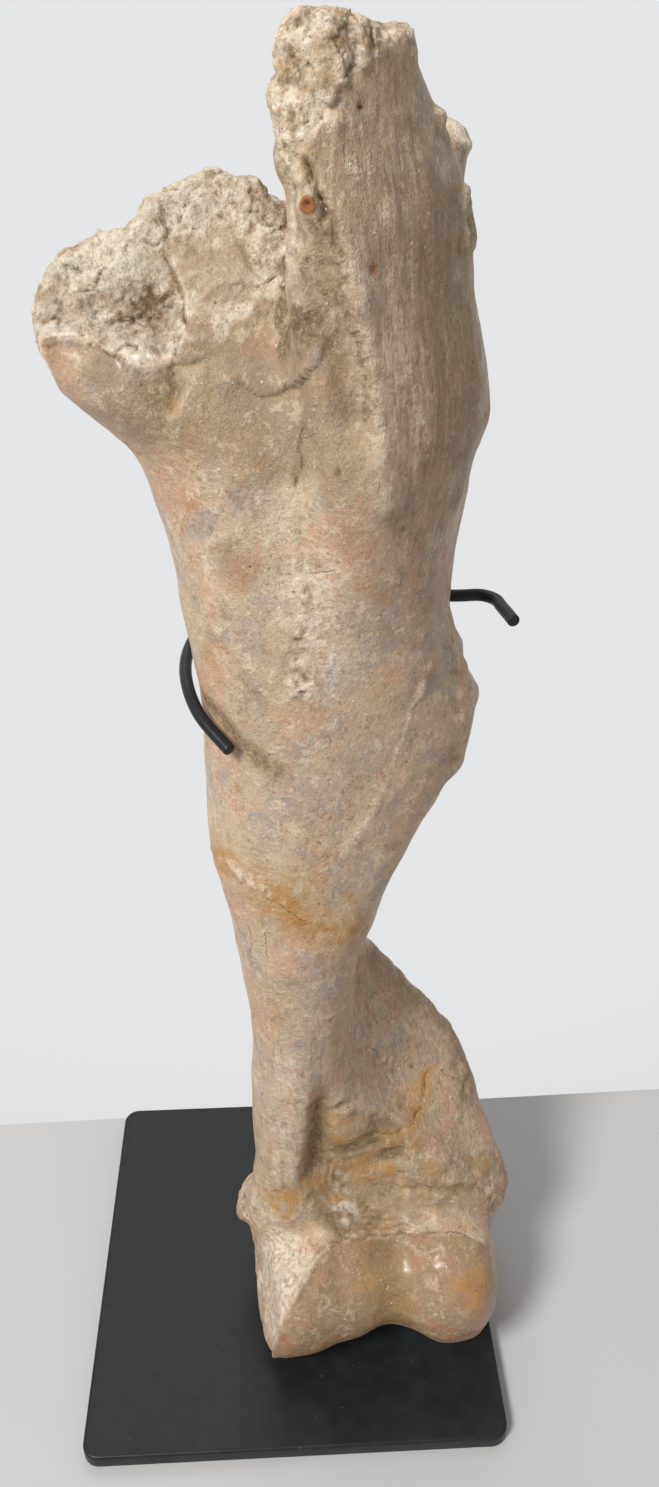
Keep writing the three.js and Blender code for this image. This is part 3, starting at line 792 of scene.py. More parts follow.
def pulley_finish(skin):
    """The joint surface: smooth, warm, stained and given painted shade in its groove."""
    face = skin.patch([(330, 1243), (390, 1238), (460, 1236), (488, 1248), (500, 1300),
                       (490, 1345), (440, 1362), (380, 1330), (270, 1375), (272, 1356),
                       (298, 1293)], 1.0)
    x, y, z = skin.points.T
    under = rise(30 - z, 0, 14) * rise(x, -8, -2)
    rear = rise(y, -30, -12) * rise(52 - z, 0, 10) * rise(x, -2, 8) * rise(70 - x, 0, 8)
    joint = np.maximum(face, np.maximum(under, rear * rise(8 - y, 0, 10)))
    groove = bell(np.abs(x - 36 - 2 * swell(skin.points, 9, 91)), 12) * joint
    # Painted shade and rust stain in the groove.
    skin.mark(polish=joint, brown=0.8 * joint, shade=0.55 * groove,
              rust=0.75 * groove * rise(rough(skin.points, 10, 2, 93), -0.8, 0.4))
    inner = bell(np.linalg.norm(skin.points - skin.place(372, 1275), axis=1), 16)
    skin.mark(rust=0.7 * inner * rise(rough(skin.points, 7, 2, 94), -0.6, 0.4))
    ball = bell(np.linalg.norm(skin.points - skin.place(477, 1290), axis=1), 13)
    skin.mark(rust=1.5 * ball * rise(rough(skin.points, 6, 2, 95), -0.9, 0.1),
              red=0.45 * ball, shade=0.28 * ball)
    skin.add(joint * 0.3 * rough(skin.points, 6, 3, 97))


def back_relief(skin):
    """The unseen side: the joint head's rim, the hollow above the elbow, given painted shade, and
    old wear.
    """
    x, y, z = skin.points.T
    away = np.linalg.norm((skin.points - [-5, 26, 362]) / [1, 1, 0.95], axis=1)
    head = rise(39.5 - np.abs(away - 34), 35, 37) * rise(y, 8, 18) * rise(z, 334, 342)
    rim = rise(y, 12, 24) * bell(np.abs(z - 337 - 3 * swell(skin.points, 16, 101)), 6)
    skin.add(0.8 * rim * rise(36 - np.abs(x + 5), 0, 8))
    worn = head * rise(rough(skin.points, 16, 3, 103), 0.25, 0.55)
    skin.add(-0.9 * worn + 0.7 * worn * rough(skin.points, 4, 2, 105))
    hollow = bell(np.linalg.norm((skin.points - [32, 20, 70]) / [1, 1.2, 1.3], axis=1), 24)
    hollow *= 1 - skin.shown
    skin.add(hollow * 0.8 * rough(skin.points, 8, 3, 107))
    heels = rise(y, 16, 24) * rise(75 - z, 0, 14)
    skin.add(heels * 0.9 * rough(skin.points, 7, 3, 109))
    # Painted shade in the hollow above the elbow.
    skin.mark(polish=0.7 * head, broken=np.maximum(0.8 * worn, 0.3 * heels), shade=0.6 * hollow)
    edge = rise(x - 0.2 * z, 18, 26) * rise(z, 240, 255) * rise(300 - z, 0, 20)
    skin.add(edge * (1 - skin.shown) * 0.7 * rough(skin.points, 6, 2, 111))


def grain_relief(skin):
    """Low swells and crusts everywhere, fine flutes where the grain shows, and small pores
    darkened with painted shade.
    """
    points, z = skin.points, skin.points[:, 2]
    smooth = (1 - clamp(skin.marks["broken"])) * (1 - 0.7 * clamp(skin.marks["polish"]))
    skin.add(smooth * (0.45 * rough(points, 26, 2, 121) + 0.2 * rough(skin.wavy, 8, 3, 123)))
    skin.mark(grain=0.8 * rise(200 - z, 0, 60) * rise(z, 60, 90))
    flutes = swell(points * [1, 1, 0.09], 3.0, 125) + 0.6 * swell(points * [1, 1, 0.14], 1.8, 127)
    skin.add(smooth * (0.04 + 0.07 * skin.marks["grain"]) * flutes)
    # Small pores, darkened with painted shade.
    pores = smooth * rise(0.07 - cells(skin.wavy, 15, 129)[0], 0, 0.04)
    skin.add(-0.4 * pores)
    skin.mark(shade=0.7 * pores)


# Iron stains and greyer areas, each with its size in millimetres; a stain has a strength too.
IRON_STAINS = [
    (184, 500, 2.8, 0.5), (222, 460, 2.6, 0.5), (235, 575, 7, 0.35), (214, 660, 6, 0.35),
    (284, 745, 3, 0.6), (278, 725, 3, 0.45), (250, 880, 8, 0.5), (262, 905, 7, 0.55),
    (295, 888, 8, 0.55), (315, 872, 7, 0.4), (352, 933, 5, 1.0), (362, 940, 4, 0.9),
    (332, 962, 4, 0.9), (327, 950, 3, 0.7), (352, 897, 5, 0.6), (415, 1102, 7, 0.85),
    (385, 1150, 9, 0.7), (345, 1150, 8, 0.6), (330, 1185, 7, 0.6), (300, 1225, 6, 0.3),
    (330, 1125, 6, 0.5), (378, 590, 6, 0.3), (210, 450, 9, 0.3), (240, 470, 7, 0.25),
    (172, 255, 4, 0.3), (300, 182, 3, 0.3), (380, 690, 5, 0.35), (205, 850, 4, 0.5)]
GREY_AREAS = [
    (258, 600, 12), (262, 640, 9), (205, 560, 8), (290, 800, 10), (342, 680, 9), (360, 770, 9),
    (275, 850, 4), (358, 862, 5), (212, 474, 6), (265, 720, 9), (310, 1000, 9), (300, 430, 10)]


def stains(skin):
    """Iron stains, greyer areas of the surface, and a darker, browner band below the lip."""
    streaky = rough(skin.wavy * [1, 1, 0.5], 7, 3, 131)
    for across, down, size, strength in IRON_STAINS:
        spot = skin.near((across, down), 1.7 * size)
        skin.mark(rust=strength * spot * rise(streaky, -0.9, 0.4))
    flecks = skin.patchy(2.0, 3, 140, -0.3, 0.4)
    for across, down, size in [(190, 503, 2.6), (192, 514, 2.2), (197, 528, 1.8)]:
        skin.mark(red=0.9 * flecks * skin.near((across, down), 1.5 * size))
    cloudy = skin.patchy(9, 2, 133, -0.6, 0.5)
    for across, down, size in GREY_AREAS:
        skin.mark(grey=skin.near((across, down), 1.4 * size) * cloudy)
    patch = skin.away(234, 568)
    skin.mark(brown=bell(patch, 9) * rise(streaky, -1.0, 0.2),
              red=0.55 * bell(patch, 8.5) * skin.patchy(2.5, 3, 139, -0.5, 0.5),
              pale=0.7 * bell(np.abs(patch - 8.5), 2) * rise(streaky, -0.4, 0.4))
    under = skin.patch([(36, 345), (110, 352), (150, 375), (330, 360), (345, 300), (372, 420),
                        (340, 500), (220, 460), (150, 450), (96, 405)], 4.0)
    skin.mark(brown=0.75 * under, shade=0.16 * under)
    behind = 1 - skin.shown
    skin.mark(rust=0.5 * behind * rise(rough(skin.points * [1, 1, 0.6], 24, 3, 135), 0.35, 0.9),
              grey=0.6 * behind * rise(rough(skin.points * [1, 1, 0.7], 20, 3, 137), 0.2, 0.8))


def hollows_and_crests(skin, points):
    """Painted shade where the skin lies low, and a painted highlight of paler bone where it
    stands proud.
    """
    calm = points
    for rounds, small, large in ((5, 0.08, 0.42), (34, 0.3, 2.0)):
        for _ in range(rounds):
            calm = 0.4 * calm + 0.6 * neighbour_mean(skin.edges, calm)
        proud = np.einsum("ij,ij->i", points - calm, skin.out)
        skin.mark(shade=0.6 * rise(-proud, small, large), pale=0.4 * rise(proud, small, large))


def closely_shown(skin):
    """The points where the picture shows the bone's ends and the marks on its shaft."""
    lower_end, upper_end = 126, 326
    z = skin.points[:, 2]
    wanted = (z > upper_end) | (z < lower_end)
    for places, reach in [([(300, 440), (300, 700)], 7), ([(423, 684), (380, 797)], 5),
                          ([(209, 852), (283, 903), (364, 934)], 6)]:
        wanted |= skin.line(places)[0] < reach
    return (skin.shown > 0.05) & wanted


def shape_bone():
    made = rough_bone()
    mesh = made.data
    refine(mesh, closely_shown(Skin(mesh)))
    skin = Skin(mesh)
    refine(mesh, skin.patch(INNER_MASS_BREAK) + skin.patch(TUBERCLE_BREAK) > 0.3)
    skin = Skin(mesh)
    for relief in (
        inner_mass_relief, inner_mass_hollows, inner_mass_edges, tubercle_relief, plugs,
        pillar_relief, shaft_relief, glued_break, elbow_column, elbow_hollow, pulley_edges,
        inner_epicondyle_relief, pulley_finish, back_relief, grain_relief, stains,
    ):
        relief(skin)
    points = skin.points + skin.out * skin.lift[:, None]
    points[:, 2] = np.maximum(points[:, 2], PLATE_THICKNESS + PLATE_GAP)
    hollows_and_crests(skin, points)
    put_points(mesh, points)
    for polygon in mesh.polygons:
        polygon.use_smooth = True
    for name in MARKS:
        layer = mesh.attributes.new(name, "FLOAT", "POINT")
        layer.data.foreach_set("value", skin.marks[name].astype(np.float32))
    print("bone triangles", sum(len(p.vertices) - 2 for p in mesh.polygons))
    return made


# ---- the mount


def mesh_from(work, name):
    bmesh.ops.recalc_face_normals(work, faces=work.faces)
    for face in work.faces:
        face.smooth = len(face.verts) <= 4
    mesh = bpy.data.meshes.new(name)
    work.to_mesh(mesh)
    work.free()
    return mesh


def ringed(rings):
    """A closed skin over rings of points in metres, from its first ring to its last."""
    work = bmesh.new()
    loops = [[work.verts.new(spot) for spot in ring] for ring in rings]
    for below, above in zip(loops, loops[1:]):
        for i in range(len(below)):
            j = (i + 1) % len(below)
            work.faces.new([below[i], below[j], above[j], above[i]])
    work.faces.new(loops[0][::-1])
    work.faces.new(loops[-1])
    return work


def corner_ring(inset, height):
    """A square ring with round corners, so far in from the plate's sides."""
    half = (PLATE_WIDTH / 2 - PLATE_CORNER) * MM
    radius = (PLATE_CORNER - inset) * MM
    ring = []
    for corner in range(4):
        middle = math.pi / 4 + corner * math.pi / 2
        cx = half * math.copysign(1, math.cos(middle))
        cy = half * math.copysign(1, math.sin(middle))
        for step in range(CORNER_STEPS + 1):
            angle = (corner + step / CORNER_STEPS) * math.pi / 2
            ring.append((cx + radius * math.cos(angle), cy + radius * math.sin(angle),
                         height * MM))
    return ring


def plate_mesh():
    """The square plate, with round corners and eased edges."""
    edge = []
    for step in range(EDGE_STEPS + 1):
        angle = math.pi / 2 * step / EDGE_STEPS
        edge.append((PLATE_EDGE * (1 - math.cos(angle)), PLATE_EDGE * (1 - math.sin(angle))))
    rings = [corner_ring(inset, drop) for inset, drop in reversed(edge)]
    rings += [corner_ring(inset, PLATE_THICKNESS - drop) for inset, drop in edge]
    return mesh_from(ringed(rings), "plate")


def curve_through(route, count):
    """Points evenly along a smooth curve through the route, as the solid model has it."""
    p = np.array(route, float)
    p = np.vstack([2 * p[0] - p[1], p, 2 * p[-1] - p[-2]])
    fine = []
    for i in range(1, len(p) - 2):
        gaps = [math.sqrt(np.linalg.norm(p[i + k] - p[i + k - 1])) for k in (0, 1, 2)]
        a = (p[i] - p[i - 1]) / gaps[0] - (p[i + 1] - p[i - 1]) / (gaps[0] + gaps[1])
        a = (a + (p[i + 1] - p[i]) / gaps[1]) * gaps[1]
        b = (p[i + 1] - p[i]) / gaps[1] - (p[i + 2] - p[i]) / (gaps[1] + gaps[2])
        b = (b + (p[i + 2] - p[i + 1]) / gaps[2]) * gaps[1]
        for t in np.linspace(0, 1, CURVE_STEPS, endpoint=i == len(p) - 3):
            fine.append((2 * t**3 - 3 * t**2 + 1) * p[i] + (t**3 - 2 * t**2 + t) * a
                        + (3 * t**2 - 2 * t**3) * p[i + 1] + (t**3 - t**2) * b)
    fine = np.array(fine)
    run = np.concatenate([[0], np.cumsum(np.linalg.norm(np.diff(fine, axis=0), axis=1))])
    at = np.linspace(0, run[-1], count)
    return np.stack([np.interp(at, run, fine[:, k]) for k in range(3)], 1)


def tube(points, radii, sides):
    """A closed round bar along points, with its own radius at each."""
    ways = np.gradient(points, axis=0)
    ways /= np.linalg.norm(ways, axis=1)[:, None]
    across = np.cross(ways[0], [0.3, 0.2, 1.0])
    rings = []
    for point, way, radius in zip(points, ways, radii):
        across = across - way * (across @ way)
        across /= np.linalg.norm(across)
        other = np.cross(way, across)
        angles = [2 * math.pi * s / sides for s in range(sides)]
        rings.append([(point + radius * (math.cos(a) * across + math.sin(a) * other)) * MM
                      for a in angles])
    return ringed(rings)


def rounded_bar(points, radius, ease):
    """A bar whose two ends are eased over with a small round."""
    steps = [(1 - math.cos(a), math.sin(a)) for a in np.linspace(math.pi / 2, 0.25, END_STEPS)]
    first = points[1] - points[0]
    first /= np.linalg.norm(first)
    last = points[-1] - points[-2]
    last /= np.linalg.norm(last)
    head = [points[0] + first * ease * back for back, _ in reversed(steps)]
    tail = [points[-1] - last * ease * back for back, _ in steps]
    inner = points[1:-1]
    inner = inner[(np.linalg.norm(inner - points[0], axis=1) > ease * 1.2)
                  & (np.linalg.norm(inner - points[-1], axis=1) > ease * 1.2)]
    tail_radii = [radius - ease * (1 - up) for _, up in steps]
    radii = tail_radii[::-1] + [radius] * len(inner) + tail_radii
    return tube(np.vstack([head, inner, tail]), radii, ROD_SIDES)


def weld_mesh(points, radii, name):
    """A lumpy bead of weld: a short thick bar with uneven rings."""
    work = tube(points, radii, WELD_SIDES)
    for vert in work.verts:
        spot = np.array([vert.co]) / MM
        middle = points[np.argmin(np.linalg.norm(points - spot, axis=1))]
        away = spot[0] - middle
        swelling = WELD_LUMPS * rough(spot, 3.0, 2, 141)[0]
        length = max(np.linalg.norm(away), 0.01)
        vert.co += Vector(away / length * swelling * MM)
    return mesh_from(work, name)


def build_mount():
    """The mount's pieces by name."""
    upright = np.linspace([POST_X, POST_Y, PLATE_THICKNESS], [POST_X, POST_Y, POST_TOP],
                          POST_RINGS)
    bar = rounded_bar(upright, POST_RADIUS, POST_END_EASE)
    made = {"base": new_object("base_plate_painted", plate_mesh()),
            "post": new_object("post_painted", mesh_from(bar, "post"))}
    curves = {"left": curve_through(LEFT_ARM, ROD_RINGS),
              "right": curve_through(RIGHT_ARM, ROD_RINGS)}
    for side, curve in curves.items():
        arm = mesh_from(rounded_bar(curve, ROD_RADIUS, ROD_END_EASE), side + "_arm")
        made[side + "_arm"] = new_object(side + "_arm_painted", arm)
    heights = np.linspace(0, 1, WELD_RINGS)
    foot = np.array([[POST_X, POST_Y, PLATE_THICKNESS - FOOT_BEAD_SINK + FOOT_BEAD_HIGH * h]
                     for h in heights])
    spread = [POST_RADIUS + FOOT_BEAD_WIDE * (1 - h) ** FOOT_BEAD_BEND for h in heights]
    made["foot_weld"] = new_object("post_weld", weld_mesh(foot, spread, "post_weld"))
    for side, curve in curves.items():
        start = np.array([POST_X, POST_Y, curve[0, 2]])
        way = curve[ARM_BEAD_AIM] - start
        way /= np.linalg.norm(way)
        line = np.array([start + way * d
                         for d in np.linspace(ARM_BEAD_START, ARM_BEAD_END, WELD_RINGS)])
        name = side + "_weld"
        made[name] = new_object(name, weld_mesh(line, ARM_BEAD, name))
    return made


# ---- finishes

TAN = (0.48, 0.345, 0.225)
CREAM = (0.57, 0.435, 0.295)
SALMON = (0.56, 0.335, 0.21)
GREY = (0.385, 0.33, 0.285)
BROWN = (0.33, 0.225, 0.135)
DARK_BROWN = (0.235, 0.155, 0.092)
LIGHT_CREAM = (0.70, 0.575, 0.41)
SAND = (0.79, 0.70, 0.54)
DARK_SAND = (0.57, 0.43, 0.275)
LIME = (0.90, 0.83, 0.70)
SOIL = (0.09, 0.064, 0.036)
EARTH = (0.27, 0.175, 0.075)
OCHRE = (0.47, 0.255, 0.08)
RUST = (0.38, 0.15, 0.04)
WARM = (0.285, 0.175, 0.085)
RED_BROWN = (0.40, 0.19, 0.11)
RED = (0.43, 0.175, 0.085)
CHALK = (0.80, 0.745, 0.65)
PLUG = (0.30, 0.115, 0.035)
BLACK, FADED_BLACK = (0.0105, 0.012, 0.0135), (0.014, 0.0155, 0.017)
DUSTY_BLACK, MOTE = (0.030, 0.033, 0.035), (0.26, 0.26, 0.25)
FLOOR, LIGHT_FLOOR = (0.46, 0.465, 0.475), (0.50, 0.505, 0.515)


class Number:
    """A value in a finish. Sums and products of it add the nodes that work them out."""

    def __init__(self, finish, socket):
        self.finish, self.socket = finish, socket

    def maths(self, operation, first, second=None, limit=False):
        sockets = {0: first} if second is None else {0: first, 1: second}
        node = self.finish.node("Math", {"operation": operation, "use_clamp": limit}, sockets)
        return Number(self.finish, node.outputs[0])

    def __add__(self, other):
        return self.maths("ADD", self, other)

    def __radd__(self, other):
        return self.maths("ADD", other, self)

    def __sub__(self, other):
        return self.maths("SUBTRACT", self, other)

    def __rsub__(self, other):
        return self.maths("SUBTRACT", other, self)

    def __mul__(self, other):
        return self.maths("MULTIPLY", self, other)

    def __rmul__(self, other):
        return self.maths("MULTIPLY", other, self)

    def size(self):
        return self.maths("ABSOLUTE", self)

    def held(self):
        """Kept between 0 and 1."""
        return self.maths("ADD", self, 0.0, True)

    def most(self, other):
        return self.maths("MAXIMUM", self, other)

    def rise(self, low, high):
        """0 below low, 1 above high, with a smooth slope between."""
        node = self.finish.node("MapRange", {"interpolation_type": "SMOOTHSTEP"},
                                {"Value": self, "From Min": low, "From Max": high})
        return Number(self.finish, node.outputs["Result"])


class Nodes:
    """A node tree under construction."""

    def __init__(self, tree):
        self.tree = tree
        self.tree.nodes.clear()

    def node(self, kind, settings=None, sockets=None):
        """Adds one node: its settings first, then the values or links of its sockets."""
        made = self.tree.nodes.new("ShaderNode" + kind)
        for name, value in (settings or {}).items():
            setattr(made, name, value)
        for name, value in (sockets or {}).items():
            self.feed(made.inputs[name], value)
        return made

    def feed(self, socket, value):
        if isinstance(value, Number):
            value = value.socket
        if isinstance(value, bpy.types.NodeSocket):
            self.tree.links.new(value, socket)
        elif isinstance(value, (tuple, list)) and socket.type == "RGBA":
            socket.default_value = (*value, 1.0)
        else:
            socket.default_value = value

    def layered(self, colour, layers):
        """Lays colours over the first, each with its share, from the lowest to the top."""
        for tint, share in layers:
            node = self.node("Mix", {"data_type": "RGBA"}, {0: share, 6: colour, 7: tint})
            colour = node.outputs[2]
        return colour


class Finish(Nodes):
    """A material under construction."""

    def __init__(self, name):
        self.material = bpy.data.materials.new(name)
        self.material.use_nodes = True
        super().__init__(self.material.node_tree)
        self.here = self.node("TexCoord").outputs["Object"]

    def mark(self, name):
        node = self.node("Attribute", {"attribute_name": name})
        return Number(self, node.outputs["Fac"])

    def stretched(self, x, y, z):
        node = self.node("Mapping", None, {"Vector": self.here, "Scale": (x, y, z)})
        return node.outputs["Vector"]

    def noise(self, size, detail=3.0, roughness=0.5, where=None, warp=0.0):
        """Random values round 0.5 that change over `size` millimetres."""
        node = self.node("TexNoise", None, {
            "Vector": where or self.here, "Scale": 1000.0 / size, "Detail": detail,
            "Roughness": roughness, "Distortion": warp})
        return Number(self, node.outputs["Fac"])

    def cells(self, size):
        """Distance from the nearest of points scattered `size` millimetres apart."""
        node = self.node("TexVoronoi", {"feature": "F1"},
                         {"Vector": self.here, "Scale": 1000.0 / size})
        return Number(self, node.outputs["Distance"])

    def bumps(self, height, distance, strength=1.0):
        sockets = {"Height": height, "Distance": distance * MM, "Strength": strength}
        return self.node("Bump", None, sockets).outputs["Normal"]

    def shade(self, sockets):
        shader = self.node("BsdfPrincipled", None, sockets)
        out = self.node("OutputMaterial")
        self.tree.links.new(shader.outputs[0], out.inputs["Surface"])
        return self.material


def fossil_bone():
    """Varnished fossil bone: mottled cortex with grain, and crumbly broken faces."""
    f = Finish("fossil_bone")
    marks = {name: f.mark(name) for name in MARKS}
    broken, polish, rust, grain = (marks[name] for name in ("broken", "polish", "rust", "grain"))

    drawn = f.stretched(1.0, 1.0, 0.55)
    along = f.stretched(1.0, 1.0, 0.07)
    wide = f.noise(38, 3, 0.55, drawn)
    salmon = f.noise(16, 8, 0.72, drawn, 0.4)
    clouds = f.noise(19, 8, 0.7, warp=0.5)
    blotch = f.noise(8, 7, 0.72, warp=0.3)
    crust = f.noise(4.5, 6, 0.75)
    streak = f.noise(1.2, 5, 0.65, along)
    speck = f.noise(1.3, 5, 0.75)
    grit = f.noise(0.6, 2, 0.6)
    grey = (clouds.rise(0.52, 0.58) * 0.85).most((marks["grey"] * 1.1).held())
    granular = 0.2 + wide * 0.45 + speck.rise(0.38, 0.60) * 0.55
    cortex = f.layered(TAN, [
        (CREAM, wide.rise(0.36, 0.64)),
        (SALMON, salmon.rise(0.49, 0.57) * 0.9),
        (GREY, grey * blotch.rise(0.38, 0.49) * 0.95),
        (BROWN, blotch.rise(0.54, 0.63) * 0.6),
        (BROWN, (marks["brown"] * granular).held()),
        (LIGHT_CREAM, crust.rise(0.54, 0.62) * 0.65),
        (DARK_BROWN, crust.rise(0.43, 0.35) * 0.5),
        (DARK_BROWN, streak.rise(0.52, 0.64) * (0.05 + grain * 0.42)),
        (LIGHT_CREAM, streak.rise(0.47, 0.37) * (0.05 + grain * 0.35)),
        (DARK_BROWN, speck.rise(0.43, 0.34) * 0.65),
        (LIGHT_CREAM, speck.rise(0.56, 0.65) * 0.65),
        (DARK_BROWN, grit.rise(0.45, 0.30) * 0.45)])

    crumb = f.noise(1.9, 6, 0.75)
    sand = f.noise(0.6, 3, 0.65)
    pore = f.cells(2.4).rise(0.18, 0.08) * f.noise(4, 3, 0.6).rise(0.52, 0.62)
    sponge = f.layered(SAND, [
        (DARK_SAND, f.noise(11, 6, 0.68, warp=0.3).rise(0.48, 0.6) * 0.8),
        (LIME, crumb.rise(0.51, 0.61) * 0.8),
        (EARTH, crumb.rise(0.45, 0.35) * 0.5),
        (DARK_BROWN, sand.rise(0.45, 0.3) * 0.55),
        (LIME, sand.rise(0.55, 0.7) * 0.45),
        (SOIL, pore * 0.7)])

    patchy = f.noise(5, 7, 0.75, warp=0.4)
    mottle = f.noise(7, 7, 0.75, warp=0.6)
    reddish = f.noise(9, 6, 0.7, warp=0.3)
    # Painted shade, with some dirt: the skin's shade mark, broken up by specks, darkens hollows,
    # grooves and sides turned from the lamps.
    painted_shade_and_dirt = (marks["shade"] * (0.45 + speck.rise(0.34, 0.64) * 0.95)).held()
    specks = f.cells(3.6).rise(0.12, 0.07) * f.noise(9, 2).rise(0.5, 0.62)
    dust = f.cells(2.9).rise(0.15, 0.09) * f.noise(11, 2).rise(0.5, 0.62)
    wobble = (f.noise(2.2, 5, 0.7) - 0.5) * 0.09
    split = ((marks["crack_side"] - 0.5 + wobble).size() * 8.0).rise(0.2, 0.05)
    split = split * marks["crack_near"].rise(0.45, 0.75) * f.noise(5, 4, 0.7).rise(0.42, 0.56)
    colour = f.layered(cortex, [
        (sponge, (broken + broken * (speck - 0.5) * 1.4).rise(0.2, 0.62)),
        # Pale crust, and painted highlights on crests and lit faces.
        (LIME, (marks["pale"] * crumb.rise(0.40, 0.58) * 0.65).held()),
        (WARM, (polish * (0.5 + mottle * 0.7)).held() * 0.9),
        (LIGHT_CREAM, polish * mottle.rise(0.54, 0.62) * 0.4),
        (CREAM, polish * crumb.rise(0.52, 0.62) * 0.5),
        (RED_BROWN, polish * reddish.rise(0.50, 0.60) * 0.7),
        (DARK_BROWN, polish * speck.rise(0.50, 0.38) * 0.7),
        (OCHRE, (rust * patchy.rise(0.38, 0.54) * 1.25).held() * 0.9),
        (RUST, (rust * patchy.rise(0.52, 0.64)).held() * 0.7),
        # Painted shade, with some dirt: earth brown, then soil dark.
        (EARTH, (painted_shade_and_dirt * 1.4).held() * 0.85),
        (SOIL, painted_shade_and_dirt * painted_shade_and_dirt * 0.75),
        (RED, (marks["red"] * (0.3 + speck * 1.4)).held() * 0.85),
        (SOIL, specks * 0.6),
        (CHALK, dust * 0.6),
        (CHALK, marks["chalk"] * speck.rise(0.38, 0.55)),
        (PLUG, marks["plug"]),
        (SOIL, split * 0.7)])

    gloss = f.noise(13, 5, 0.65)
    roughness = 0.50 + broken * 0.34 - polish * 0.12 + (gloss - 0.5) * 0.3 + painted_shade_and_dirt * 0.2
    coat = (1.0 - broken * 1.2) * gloss.rise(0.40, 0.60) * 0.3 + polish * 0.25
    height = (1.0 - broken.held()) * (1.0 - polish * 0.25) * (
        streak * (0.15 + grain * 0.9) + speck * 1.1 + grit * 0.25 + crust * 1.8)
    height = height + broken * (crumb * 3.2 + sand * 1.0 - pore * 0.6)
    height = height - split * 0.8 - specks * 0.4 + dust * 0.25
    return f.shade({
        "Base Color": colour, "Roughness": roughness.held(), "Coat Weight": coat.held(),
        "Coat Roughness": 0.24, "Specular IOR Level": 0.4, "Normal": f.bumps(height, 0.5)})


def black_paint():
    """Satin black paint on steel, slightly pebbled and dusty."""
    f = Finish("black_paint")
    dust = f.noise(38, 4, 0.6)
    mottle = f.noise(6, 3, 0.6)
    motes = f.cells(4.5).rise(0.05, 0.025) * f.noise(21, 2).rise(0.45, 0.6)
    colour = f.layered(BLACK, [
        (FADED_BLACK, mottle.rise(0.4, 0.65)),
        (DUSTY_BLACK, dust.rise(0.5, 0.72) * 0.35),
        (MOTE, motes * 0.6)])
    roughness = 0.40 + (mottle - 0.5) * 0.06 + dust.rise(0.45, 0.7) * 0.07 + motes * 0.3
    pebble = f.noise(0.95, 2, 0.5) * 0.6 + f.noise(4.5, 2) * 0.8
    return f.shade({
        "Base Color": colour, "Roughness": roughness.held(), "Specular IOR Level": 0.27,
        "Normal": f.bumps(pebble, 0.14, 0.75)})


def studio_floor():
    f = Finish("pale_floor")
    colour = f.layered(FLOOR, [(LIGHT_FLOOR, f.noise(160, 2))])
    return f.shade({"Base Color": colour, "Roughness": 0.75})


# ---- the picture

ROOM_LIGHT = 0.42
WALL_LIGHT = 0.80
WARM_AIR, COOL_AIR = (1.0, 0.955, 0.90), (0.975, 0.985, 1.0)

# Each lamp's place, width in metres, power and colour; all face the middle of the bone.
BONE_MIDDLE = (0, 0, 0.25)
LAMPS = {
    "window": ((-0.95, -1.05, 1.6), 0.55, 43, (1.0, 0.985, 0.96)),
    "ceiling": ((-0.2, 0.9, 1.5), 0.9, 5, (0.97, 0.98, 1.0)),
}

# Where the picture shows the back edge of the table, at its left and right sides.
TABLE_EDGE = [(0, 1125), (659, 1089)]
TABLE_REACH = 1.3


def on_table(across, down):
    """The place on the table that the picture shows at (across, down), in metres."""
    way = sight_line(across, down)
    return (CAMERA_PLACE - way * CAMERA_PLACE[2] / way[2]) * MM


def build_floor():
    """A table that ends a little behind the mount, as in the picture."""
    left, right = (on_table(*spot) for spot in TABLE_EDGE)
    along = (right - left) / np.linalg.norm(right - left)
    toward = np.array([along[1], -along[0], 0])
    corners = [left - along * TABLE_REACH, right + along * TABLE_REACH]
    corners += [corner + toward * TABLE_REACH for corner in reversed(corners)]
    mesh = bpy.data.meshes.new("floor")
    mesh.from_pydata([list(corner) for corner in corners], [], [[3, 2, 1, 0]])
    floor = new_object("floor", mesh)
    floor.data.materials.append(studio_floor())


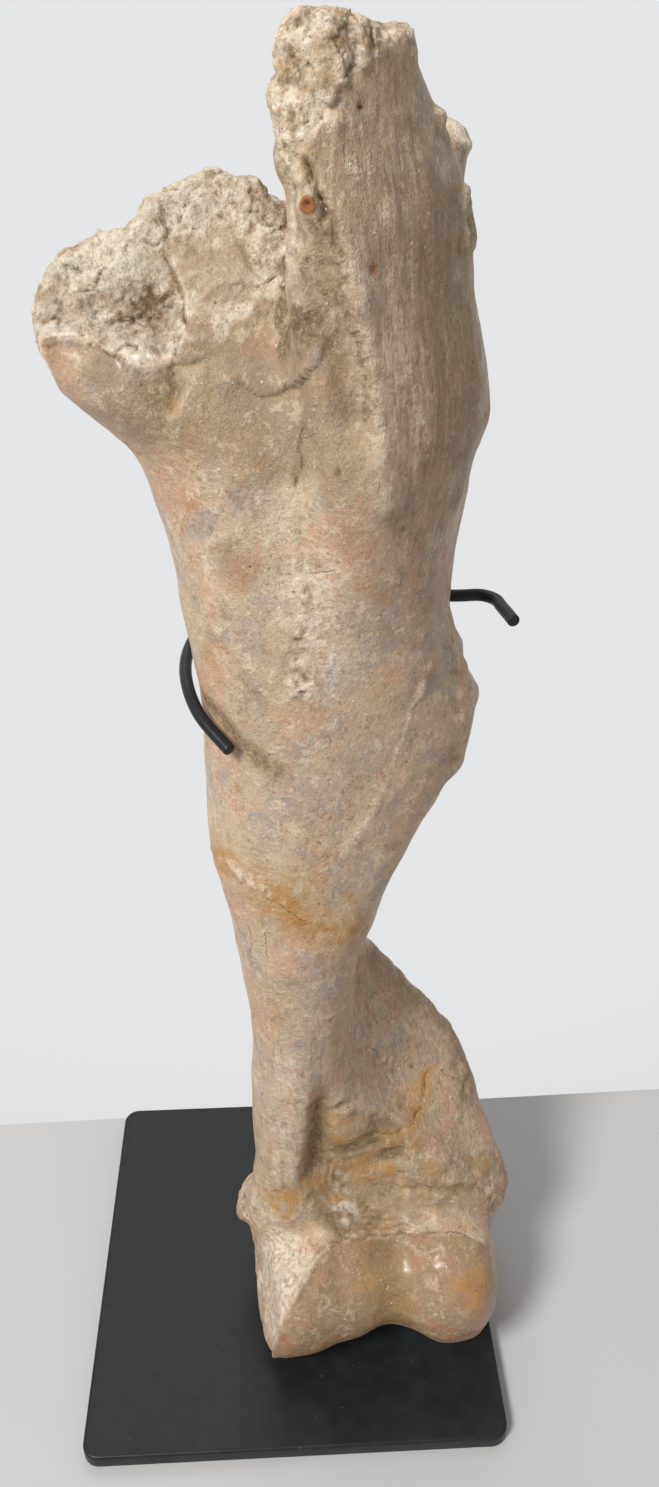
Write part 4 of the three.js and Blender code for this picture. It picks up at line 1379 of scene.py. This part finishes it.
def room_light():
    """Pale light from all round, brightest from the wall behind the bone."""
    world = bpy.data.worlds.new("room")
    world.use_nodes = True
    room = Nodes(world.node_tree)
    way = room.node("TexCoord").outputs["Generated"]
    parts = room.node("SeparateXYZ", None, {"Vector": way}).outputs
    behind = Number(room, parts["Y"]).rise(0.1, 0.75) * Number(room, parts["Z"]).rise(0.6, 0.25)
    strength = behind * (WALL_LIGHT - ROOM_LIGHT) + ROOM_LIGHT
    colour = room.layered(WARM_AIR, [(COOL_AIR, behind)])
    back = room.node("Background", None, {"Color": colour, "Strength": strength})
    out = room.node("OutputWorld")
    room.tree.links.new(back.outputs[0], out.inputs["Surface"])
    bpy.context.scene.world = world


def lamps():
    for name, (place, wide, power, colour) in LAMPS.items():
        data = bpy.data.lights.new(name, "AREA")
        data.shape = "DISK"
        data.size = wide
        data.energy = power
        data.color = colour
        lamp = new_object(name, data)
        lamp.location = place
        way = Vector(BONE_MIDDLE) - Vector(place)
        lamp.rotation_euler = way.to_track_quat("-Z", "Y").to_euler()


def build_camera():
    data = bpy.data.cameras.new("camera")
    data.sensor_width = SENSOR
    data.lens = FOCAL / PICTURE_HIGH * SENSOR
    data.clip_start, data.clip_end = 0.01, 50
    camera = new_object("camera", data)
    camera.location = CAMERA_PLACE * MM
    camera.rotation_euler = camera_turn
    bpy.context.scene.camera = camera


def finish_piece(piece, slot, material, *nodes):
    piece.data.materials.clear()
    piece.data.materials.append(material)
    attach(piece, "root")
    if nodes:
        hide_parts(*nodes)


build_camera()
build_floor()
room_light()
lamps()
bpy.context.scene.view_settings.view_transform = "Standard"

bone = shape_bone()
finish_piece(bone, "fossil_bone", fossil_bone(), "bone")

mount = build_mount()
paint = black_paint()
finish_piece(mount["base"], "black_paint", paint, "base_plate")
finish_piece(mount["post"], "black_paint", paint, "post")
finish_piece(mount["left_arm"], "black_paint", paint, "left_arm")
finish_piece(mount["right_arm"], "black_paint", paint, "right_arm")
for weld in ("foot_weld", "left_weld", "right_weld"):
    finish_piece(mount[weld], "black_paint", paint)
